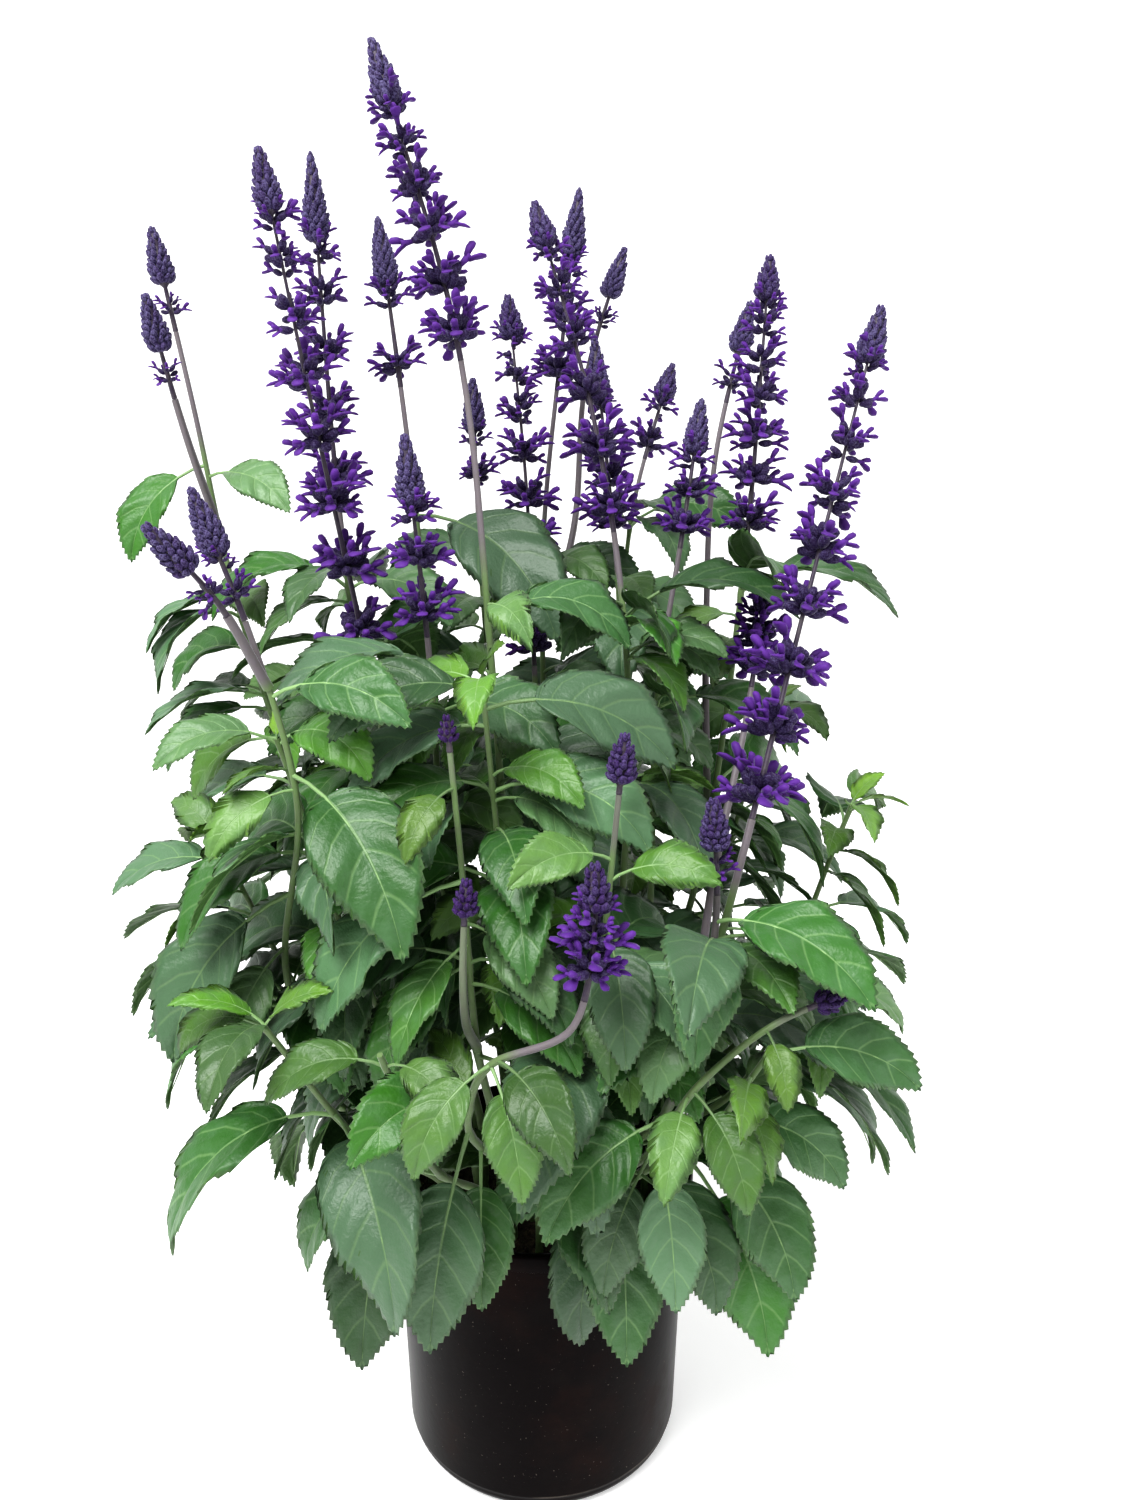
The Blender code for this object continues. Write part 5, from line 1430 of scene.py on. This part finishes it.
# Finishes
class Finish:
    """A material, and the values and colours that its shader is built from."""

    def __init__(self, name, roughness, **sockets):
        self.material = bpy.data.materials.new(name)
        self.material.use_nodes = True
        self.tree = self.material.node_tree
        self.shader = self.tree.nodes["Principled BSDF"].inputs
        self.shader["Roughness"].default_value = roughness
        for label, value in sockets.items():
            self.shader[label.replace("_", " ")].default_value = value

    def drive(self, socket, value):
        """Let a value or a colour set one of the shader's sockets."""
        self.tree.links.new(value, self.shader[socket])

    def attribute(self, name):
        """The number that the piece has under a name."""
        return output_of(self.tree, "ShaderNodeAttribute", "Fac", attribute_name=name)

    def parts(self, name):
        """The three numbers that the piece has under a name."""
        vector = output_of(self.tree, "ShaderNodeAttribute", "Vector", attribute_name=name)
        return node(self.tree, "ShaderNodeSeparateXYZ", {0: vector}).outputs

    def place(self):
        """Place on the piece, in metres."""
        return output_of(self.tree, "ShaderNodeTexCoord", "Object")

    def math(self, operation, a, b=0.0, clamp=False):
        """One sum of two values."""
        return math_of(self.tree, operation, a, b, clamp)

    def times(self, value, factor):
        """A value times a factor."""
        return self.math("MULTIPLY", value, factor)

    def ramp(self, value, low, high):
        """0 below low and 1 above high, eased between."""
        return output_of(self.tree, "ShaderNodeMapRange", "Result",
                         {"Value": value, "From Min": low, "From Max": high}, interpolation_type="SMOOTHSTEP")

    def mixed(self, factor, a, b):
        """Two colours mixed by a factor."""
        made = node(self.tree, "ShaderNodeMix", {0: factor}, data_type="RGBA")
        for index, value in ((6, a), (7, b)):
            if isinstance(value, bpy.types.NodeSocket):
                self.tree.links.new(value, made.inputs[index])
            else:
                made.inputs[index].default_value = (*value, 1.0)
        return made.outputs[2]

    def noise(self, scale, detail=3.0, rough=0.55):
        """Noise on the place on the piece."""
        return output_of(self.tree, "ShaderNodeTexNoise", "Fac", {
            "Vector": self.place(), "Scale": scale, "Detail": detail, "Roughness": rough})

    def blotches(self, scale, low, high, detail=3.0, rough=0.55):
        """Patches where noise is high, with soft edges."""
        return self.ramp(self.noise(scale, detail, rough), low, high)

    def bump(self, height, strength, distance):
        """Raise the surface by a height."""
        self.drive("Normal", output_of(self.tree, "ShaderNodeBump", "Normal", {
            "Height": height, "Strength": strength, "Distance": distance}))


def scaled(rgb, factor):
    """A colour made darker or lighter."""
    return tuple(min(1, factor * c) for c in rgb)


def leaf_finish(looks):
    """Green blades with paler ribs and undersides, each leaf by its age, with a grey bloom and a painted
    sheen on some, and painted light shining through others.
    """
    leaf = Finish("leaf", 0.44, Sheen_Weight=0.04, Sheen_Roughness=0.45,
                  Sheen_Tint=(0.80, 0.90, 0.92, 1.0), Specular_IOR_Level=0.45)
    across, along, _ = leaf.parts("leaf_place")
    age, fortune, bloom = leaf.parts("leaf_tone")
    # The third tone picks the upper colour: bright, which is partly painted light through the blade; mature;
    # greyed, which is partly bloom and partly painted sheen
    upper = leaf.mixed(leaf.ramp(bloom, 0.05, 0.35), looks.bright, looks.mature)
    upper = leaf.mixed(leaf.ramp(bloom, 0.35, 1.0), upper, looks.greyed_and_sheen)
    upper = leaf.mixed(age, upper, looks.young)
    # Patches of the greyed colour, partly bloom and partly painted sheen, on the upper faces
    upper = leaf.mixed(leaf.times(leaf.blotches(95.0, 0.35, 0.70), 0.30), upper, looks.greyed_and_sheen)
    lean = leaf.math("ABSOLUTE", across)
    rib = rib_share(leaf, looks, lean, along)
    upper = leaf.mixed(leaf.times(rib, 0.48), upper, looks.rib)
    upper = leaf.mixed(leaf.times(leaf.ramp(lean, 0.90, 1.0), 0.35), upper, looks.rib)
    lower = leaf.mixed(age, looks.underside, looks.young)
    lower = leaf.mixed(leaf.times(rib, 0.9), lower, looks.rib)
    colour_here = leaf.mixed(leaf.attribute("underside"), upper, lower)
    colour_here = leaf.mixed(leaf.ramp(along, -0.02, -0.5), colour_here, looks.rib)
    light = leaf.math("ADD", leaf.times(fortune, 0.62), 0.52)
    leaf.drive("Base Color", output_of(leaf.tree, "ShaderNodeVectorMath", "Vector",
                                       {0: colour_here, "Scale": light}, operation="SCALE"))
    puckers = leaf.times(leaf.noise(430.0), 1.5)
    leaf.bump(leaf.math("SUBTRACT", puckers, leaf.times(rib, 0.6)), 0.60, 0.5 * MM)
    return leaf.material


def rib_share(leaf, looks, lean, along):
    """How far a place on a blade is midrib or side vein."""
    veins = leaf.math("FRACT", leaf.times(along, (2 * looks.teeth + 1) / VEIN_ROWS))
    off_vein = leaf.math("ABSOLUTE", leaf.math("SUBTRACT", veins, 0.5))
    side_vein = leaf.times(leaf.ramp(off_vein, 0.42, 0.495), leaf.ramp(lean, 0.95, 0.80))
    return leaf.math("MAXIMUM", leaf.ramp(lean, 0.048, 0.014), leaf.times(side_vein, 0.58))


def stem_finish(looks):
    """Ridged green stems that turn mauve-grey and then dark purple towards the flowers."""
    stem = Finish("stem", 0.55, Sheen_Weight=0.30, Sheen_Roughness=0.4, Sheen_Tint=(0.85, 0.85, 0.90, 1.0))
    ripeness = stem.attribute("ripeness")
    skin = stem.mixed(stem.ramp(ripeness, 0.0, 0.5), looks.low, looks.middle)
    skin = stem.mixed(stem.ramp(ripeness, 0.5, 1.0), skin, looks.high)
    streaks = stem.times(stem.blotches(260.0, 0.35, 0.75), 0.35)
    stem.drive("Base Color", stem.mixed(streaks, skin, STREAK_COLOUR))
    stem.bump(stem.noise(900.0), 0.35, 0.4 * MM)
    return stem.material


def flower_finish(looks):
    """Velvety dark cups and grey buds, and violet petals that pale towards their tips."""
    flower = Finish("flower", 0.62, Sheen_Weight=0.18, Sheen_Roughness=0.35,
                    Sheen_Tint=(0.72, 0.66, 0.95, 1.0), Specular_IOR_Level=0.22)
    shade, along, _ = flower.parts("bloom")
    tone = flower.attribute("tone")
    petal = flower.mixed(flower.ramp(along, 0.45, 0.95), scaled(looks.petal, 0.30), looks.petal)
    petal = flower.mixed(flower.times(tone, 0.40), petal, scaled(looks.petal, 1.9))
    grey = flower.mixed(flower.ramp(tone, 0.05, 0.75), scaled(looks.petal, 0.62), looks.bud)
    bud = flower.mixed(flower.times(flower.blotches(1300.0, 0.38, 0.58), 0.85), looks.calyx, grey)
    cup = flower.mixed(flower.times(flower.blotches(1300.0, 0.42, 0.68), 0.55), looks.calyx, looks.bud)
    skin = flower.mixed(flower.ramp(shade, 0.2, 0.4), cup, bud)
    flower.drive("Base Color", flower.mixed(flower.ramp(shade, 0.7, 0.9), skin, petal))
    flower.bump(flower.noise(1800.0, 2.0), 0.6, 0.35 * MM)
    return flower.material


def pot_finish(looks):
    """Near-black moulded plastic, rubbed reddish in places, dusted, with a few splashes, and with a painted
    highlight along the ridge of its step.
    """
    pot = Finish("pot", 0.38, Specular_IOR_Level=0.04)
    rubbed = pot.blotches(14.0, 0.48, 0.80, 6.0, 0.62)
    skin = pot.mixed(pot.times(rubbed, 0.45), looks.plastic, looks.worn)
    specks = pot.times(pot.blotches(620.0, 0.71, 0.78, 2.0), 0.65)
    film = pot.times(pot.blotches(32.0, 0.45, 0.85, 5.0), 0.012)
    height = output_of(pot.tree, "ShaderNodeSeparateXYZ", "Z", {0: pot.place()})
    # Painted highlight: a pale blotchy band along the ridge of the step, in the colour of the dusting
    off_ridge = pot.math("ABSOLUTE", pot.math("SUBTRACT", height, POT_STEP_HEIGHT))
    ridge_highlight = pot.times(pot.ramp(off_ridge, 0.9 * MM, 0.2 * MM), pot.blotches(20.0, 0.46, 0.62, 5.0))
    # Dusting, splashes and the painted highlight on the ridge, all in the same colour
    dust_and_highlight_share = pot.math("MAXIMUM", specks, pot.math("MAXIMUM", film, pot.times(ridge_highlight, 0.35)))
    pot.drive("Base Color", pot.mixed(dust_and_highlight_share, skin, looks.dust_and_ridge_highlight))
    rough = pot.math("ADD", pot.times(rubbed, 0.16), 0.30)
    pot.drive("Roughness", pot.math("ADD", rough, pot.times(dust_and_highlight_share, 0.5), clamp=True))
    pot.bump(pot.noise(240.0, 4.0), 0.12, 0.5 * MM)
    return pot.material


def soil_finish(looks):
    """Damp dark soil with paler bark."""
    soil = Finish("soil", 0.9)
    bark = soil.blotches(240.0, 0.45, 0.75)
    soil.drive("Base Color", soil.mixed(bark, looks.soil, scaled(looks.soil, 3.2)))
    soil.bump(soil.noise(500.0), 0.9, 1.0 * MM)
    return soil.material


# Solid pieces
def mesh_of(name, shape):
    """The mesh of a shape that was modelled, which is then freed."""
    mesh = bpy.data.meshes.new(name)
    shape.to_mesh(mesh)
    shape.free()
    return mesh


def turned(name, profile, segments):
    """A solid turned about the pot's axis from a profile of (radius, height) that starts and ends on it."""
    rings = profile[1:-1]
    turns = [math.tau * k / segments for k in range(segments)]
    verts = [(radius * math.cos(turn), radius * math.sin(turn), height) for radius, height in rings
             for turn in turns]
    low, high, last = len(verts), len(verts) + 1, (len(rings) - 1) * segments
    faces = ring_quads(len(rings), segments)
    for k in range(segments):
        after = (k + 1) % segments
        faces += [(low, after, k), (last + k, last + after, high)]
    mesh = bpy.data.meshes.new(name)
    mesh.from_pydata([*verts, (0, 0, profile[0][1]), (0, 0, profile[-1][1])], [], faces)
    return new_object(name, mesh)


def bowed(a, b, steps, bulge):
    """Points from a to b on a curve that swells by a bulge to its right."""
    way = Vector(b) - Vector(a)
    off = Vector((way.y, -way.x)).normalized() * bulge
    return [tuple(Vector(a) + way * i / steps + off * math.sin(math.pi * i / steps)) for i in range(steps)]


def pot_profile():
    """Half section of the pot: foot, step, wall, rolled lip, and down the inside."""
    foot_out = POT_LOW_RADIUS - POT_STEP - POT_FOOT_RADIUS
    foot = [(POT_FOOT_RADIUS + foot_out * math.sin(turn), POT_STEP_HEIGHT * 0.86 * (1 - math.cos(turn)))
            for turn in (math.radians(10 * i) for i in range(10))]
    lip_low = POT_HEIGHT - LIP_HEIGHT
    shoulder = POT_HEIGHT - LIP_ROUND
    rim = POT_TOP_RADIUS + LIP_OUT
    inside = (POT_TOP_RADIUS - POT_WALL, shoulder)
    under = (wall_radius(lip_low), lip_low)
    edge = (under[0] + LIP_OUT, lip_low + LIP_FOOT)
    top = (rim - LIP_ROUND, POT_HEIGHT)
    lip = [*bowed(under, edge, 4, 0.4 * MM), *bowed(edge, (rim, shoulder), 4, 0.25 * MM),
           *bowed((rim, shoulder), top, 5, 0.55 * MM), *bowed(top, inside, 5, 0.4 * MM)]
    return [(0, 0), *foot, (POT_LOW_RADIUS - 0.2 * MM, POT_STEP_HEIGHT - 0.5 * MM),
            (POT_LOW_RADIUS, POT_STEP_HEIGHT + 0.6 * MM), *lip, inside,
            (POT_LOW_RADIUS - POT_WALL, POT_STEP_HEIGHT + 4 * MM),
            (POT_FOOT_RADIUS - POT_WALL, POT_FLOOR), (0, POT_FLOOR)]


def cut_drain_holes(pot):
    """Bore the floor's drain holes."""
    drills = bpy.data.collections.new("drills")
    bpy.context.scene.collection.children.link(drills)
    for k in range(DRAIN_HOLES):
        angle = math.tau * (k + 0.5) / DRAIN_HOLES
        shape = bmesh.new()
        place = Matrix.Translation((DRAIN_RING * math.cos(angle), DRAIN_RING * math.sin(angle), 0))
        bmesh.ops.create_cone(shape, cap_ends=True, segments=DRILL_SEGMENTS, radius1=DRAIN_RADIUS,
                              radius2=DRAIN_RADIUS, depth=4 * POT_FLOOR, matrix=place)
        drills.objects.link(bpy.data.objects.new("drill", mesh_of("drill", shape)))
    step = pot.modifiers.new("holes", "BOOLEAN")
    step.operation = "DIFFERENCE"
    step.operand_type = "COLLECTION"
    step.collection = drills
    step.solver = "MANIFOLD"
    apply_modifier(pot, step)
    for drill in list(drills.objects):
        bpy.data.objects.remove(drill)
    bpy.data.collections.remove(drills)


def soil_profile():
    """Half section of the plug of soil, closed on the axis."""
    low_radius = POT_LOW_RADIUS - POT_WALL - 2 * SEAT_GAP
    top_radius = low_radius + (POT_TOP_RADIUS - POT_LOW_RADIUS) * (SOIL_TOP / POT_HEIGHT)
    flat = top_radius - 3 * SOIL_DIP
    return [(0, POT_FLOOR + SEAT_GAP), (POT_FOOT_RADIUS - POT_WALL - 2 * SEAT_GAP, POT_FLOOR + SEAT_GAP),
            (low_radius, POT_STEP_HEIGHT + 4 * MM + SEAT_GAP), (top_radius, SOIL_TOP - SOIL_DIP),
            (flat, SOIL_TOP - 0.4 * MM), *((flat * k / 12, SOIL_TOP) for k in range(11, 0, -1)),
            (0, SOIL_TOP)]


def roughen(obj, chance):
    """Move the soil's top up and down a little."""
    phases = [(chance.uniform(*SOIL_WAVES), chance.uniform(0, math.tau), chance.uniform(0, math.tau))
              for _ in range(9)]
    for vertex in obj.data.vertices:
        if vertex.co.z > SOIL_TOP - 2 * MM:
            waves = 0.0
            for rate, turn, start in phases:
                along = math.cos(turn) * vertex.co.x + math.sin(turn) * vertex.co.y
                waves += math.sin(rate * along + start)
            vertex.co.z -= (0.9 + 0.25 * waves) * MM


class SALVIA_OT_pot(bpy.types.Operator):
    """Turn the nursery pot"""

    bl_idname = "salvia.pot"
    bl_label = "Pot"

    def execute(self, context):
        pot = turned("nursery_pot", pot_profile(), POT_SEGMENTS)
        cut_drain_holes(pot)
        pot.data.materials.clear()
        pot.data.materials.append(pot_finish(context.scene.salvia_pot))
        pot.data.shade_smooth()
        pot.data.set_sharp_from_angle(angle=SHARP_EDGE)
        dress(pot, "pot", "pot")
        return {"FINISHED"}


class SALVIA_OT_soil(bpy.types.Operator):
    """Fill the pot with soil and scatter crumbs of bark on it"""

    bl_idname = "salvia.soil"
    bl_label = "Soil"

    def execute(self, context):
        looks = context.scene.salvia_pot
        soil = turned("potting_soil", soil_profile(), SOIL_SEGMENTS)
        roughen(soil, random.Random(LEAF_SEED))
        shape = bmesh.new()
        bmesh.ops.create_icosphere(shape, subdivisions=1, radius=CRUMB_RADIUS)
        crumb = new_object("crumb", mesh_of("crumb", shape))
        run_tree(soil, crumb_tree(), {"Crumb": crumb, "Crumbs a square metre": looks.crumbs,
                                      "Finish": soil_finish(looks)})
        bpy.data.objects.remove(crumb)
        dress(soil, "soil", "soil")
        return {"FINISHED"}


def leaf_tone(leaf, chance):
    """How young a leaf is, its chance of being light, and its chance of a grey bloom with a painted sheen; a
    leaf with the least such chance takes a bright green that is partly painted light shining through it.
    """
    age = max(0.0, (OLD_BLADE - leaf.blade) / (OLD_BLADE - YOUNG_BLADE)) * chance.uniform(*AGE_RANGE)
    return min(1.0, age), chance.random(), chance.random()


class SALVIA_OT_foliage(bpy.types.Operator):
    """Grow the stems with their leaves, one piece for each part of the plant"""

    bl_idname = "salvia.foliage"
    bl_label = "Stems and leaves"

    def execute(self, context):
        looks, stem_looks = context.scene.salvia_leaf, context.scene.salvia_stem
        paths = shoot_paths()
        leaves = all_leaves(paths, looks.seed)
        tree = foliage_tree()
        finishes = {"Stem finish": stem_finish(stem_looks), "Leaf finish": leaf_finish(looks)}
        for zone, stems in ZONES.items():
            chance = random.Random(zone)
            skin, points = LeafSkin(looks), Points()
            for leaf in leaves:
                if leaf.stem in stems:
                    tone = leaf_tone(leaf, chance)
                    skin.add_blade(leaf, chance, tone)
                    skin.add_stalk(leaf, tone)
            for shoot, path in zip(SHOOTS, paths):
                if shoot.name in stems:
                    top = max(leaf.point.z for leaf in leaves if leaf.stem == shoot.name)
                    leafy_to = 0.0 if shoot.fork else path.distance_at_height(top)
                    add_stem(points, shoot, path, leafy_to, stem_looks, chance.random())
            blades = new_object("blades", skin.make_mesh("blades"))
            piece = new_object("foliage_" + zone, points.make_mesh("stems"))
            run_tree(piece, tree, {"Leaves": blades, "Rounding": stem_looks.rounding, **finishes})
            bpy.data.objects.remove(blades)
            dress(piece, "leaf", *("stem_" + stem for stem in stems))
        return {"FINISHED"}


def spike_nodes(stems):
    """The packed nodes of the spikes that stand on some stems."""
    return [name for name in frame["nodes"]
            if name.startswith(SPIKE_PREFIX) and name[len(SPIKE_PREFIX):-2] in stems]


class SALVIA_OT_spikes(bpy.types.Operator):
    """Grow the flower spikes, one piece for each part of the plant"""

    bl_idname = "salvia.spikes"
    bl_label = "Flower spikes"

    def execute(self, context):
        looks, stem_looks = context.scene.salvia_flower, context.scene.salvia_stem
        paths = shoot_paths()
        templates = {
            "Cup": template("cup", [lofted(CUP, 6, 0.0)]),
            "Flower": template("flower", [lofted(TUBE, 5, 1.0), lofted(HOOD, 5, 1.0), lofted(LIP, 6, 1.0)]),
            "Bud": template("bud", [lofted(BUD, 5, 0.5)])}
        tree = spike_tree()
        finishes = {"Stalk finish": stem_finish(stem_looks), "Flower finish": flower_finish(looks)}
        for zone, stems in ZONES.items():
            chance = random.Random(f"{zone} {looks.seed}")
            points, nodes = Points(), spike_nodes(stems)
            if not nodes:
                continue
            for shoot, path in zip(SHOOTS, paths):
                if shoot.name in stems and shoot.spike:
                    add_spike(points, shoot, path, looks, chance)
            piece = new_object("spikes_" + zone, points.make_mesh("spikes"))
            run_tree(piece, tree, {**templates, "Rounding": stem_looks.rounding, **finishes})
            dress(piece, "flower", *nodes)
        for shape in templates.values():
            bpy.data.objects.remove(shape)
        return {"FINISHED"}


def lay_floor(looks):
    """The white floor, which sweeps up behind the plant."""
    sweep = [(SWEEP_FROM + math.sin(turn), 1 - math.cos(turn))
             for turn in (math.radians(5 * step) for step in range(19))]
    section = [(-5, 0), *sweep, (SWEEP_FROM + 1, 5)]
    mesh = bpy.data.meshes.new("floor")
    mesh.from_pydata([(x, y, z) for y, z in section for x in (-7, 7)], [],
                     [(2 * i, 2 * i + 1, 2 * i + 3, 2 * i + 2) for i in range(len(section) - 1)])
    mesh.shade_smooth()
    floor = new_object("floor", mesh)
    made = Finish("floor", 0.85, Emission_Color=(1, 1, 1, 1), Emission_Strength=looks.glow,
                  Base_Color=(*looks.floor, 1.0))
    mesh.materials.append(made.material)


def hang_lamp(name, place, size, watts):
    """A soft square lamp that faces the plant."""
    lamp = bpy.data.lights.new(name, "AREA")
    lamp.size = size
    lamp.energy = watts
    light = new_object(name, lamp)
    light.location = place
    light.rotation_euler = (LAMPS_FACE - Vector(place)).to_track_quat("-Z", "Y").to_euler()


def light_sky(scene, strength):
    """Even white light from all around."""
    scene.world = bpy.data.worlds.new("studio")
    scene.world.use_nodes = True
    sky = scene.world.node_tree.nodes["Background"].inputs
    sky["Color"].default_value = (1, 1, 1, 1)
    sky["Strength"].default_value = strength


def set_camera(scene):
    """The camera that saw the plant."""
    camera = new_object("camera", bpy.data.cameras.new("camera"))
    camera.data.sensor_fit = "VERTICAL"
    camera.data.sensor_height = CAMERA_FRAME
    camera.data.lens = CAMERA_LENS
    camera.location = CAMERA_PLACE
    camera.rotation_euler = (CAMERA_TILT, 0, 0)
    scene.camera = camera


class SALVIA_OT_stage(bpy.types.Operator):
    """Lay the floor and set the camera and the lights"""

    bl_idname = "salvia.stage"
    bl_label = "Floor, camera and lights"

    def execute(self, context):
        scene, looks = context.scene, context.scene.salvia_stage
        lay_floor(looks)
        hang_lamp("key", KEY_PLACE, KEY_SIZE, looks.key_watts)
        hang_lamp("fill", FILL_PLACE, FILL_SIZE, looks.fill_watts)
        light_sky(scene, looks.sky)
        scene.view_settings.view_transform = "Standard"
        scene.view_settings.look = "Medium High Contrast"
        set_camera(scene)
        return {"FINISHED"}


class SALVIA_PT_panel(bpy.types.Panel):
    """Sizes and colours of the plant, and the steps that make it"""

    bl_label = "Potted Salvia"
    bl_idname = "SALVIA_PT_panel"
    bl_space_type = "VIEW_3D"
    bl_region_type = "UI"
    bl_category = "Salvia"

    def draw(self, context):
        for name, kind in GROUPS.items():
            box = self.layout.box()
            box.label(text=kind.__doc__)
            for prop in kind.__annotations__:
                box.prop(getattr(context.scene, name), prop)
        for operator in OPERATORS:
            self.layout.operator(operator.bl_idname)


GROUPS = {"salvia_leaf": LeafLooks, "salvia_stem": StemLooks, "salvia_flower": FlowerLooks,
          "salvia_pot": PotLooks, "salvia_stage": StageLooks}
OPERATORS = (SALVIA_OT_stage, SALVIA_OT_pot, SALVIA_OT_soil, SALVIA_OT_foliage, SALVIA_OT_spikes)


def register():
    """Make the classes known and give the scene its settings."""
    for kind in (*GROUPS.values(), *OPERATORS, SALVIA_PT_panel):
        bpy.utils.register_class(kind)
    for name, kind in GROUPS.items():
        setattr(bpy.types.Scene, name, PointerProperty(type=kind))


def unregister():
    """Undo register."""
    for name in GROUPS:
        delattr(bpy.types.Scene, name)
    for kind in (SALVIA_PT_panel, *OPERATORS[::-1], *list(GROUPS.values())[::-1]):
        bpy.utils.unregister_class(kind)


def main():
    """Make every piece."""
    register()
    for operator in OPERATORS:
        group, name = operator.bl_idname.split(".")
        getattr(getattr(bpy.ops, group), name)()


if __name__ == "__main__":
    main()
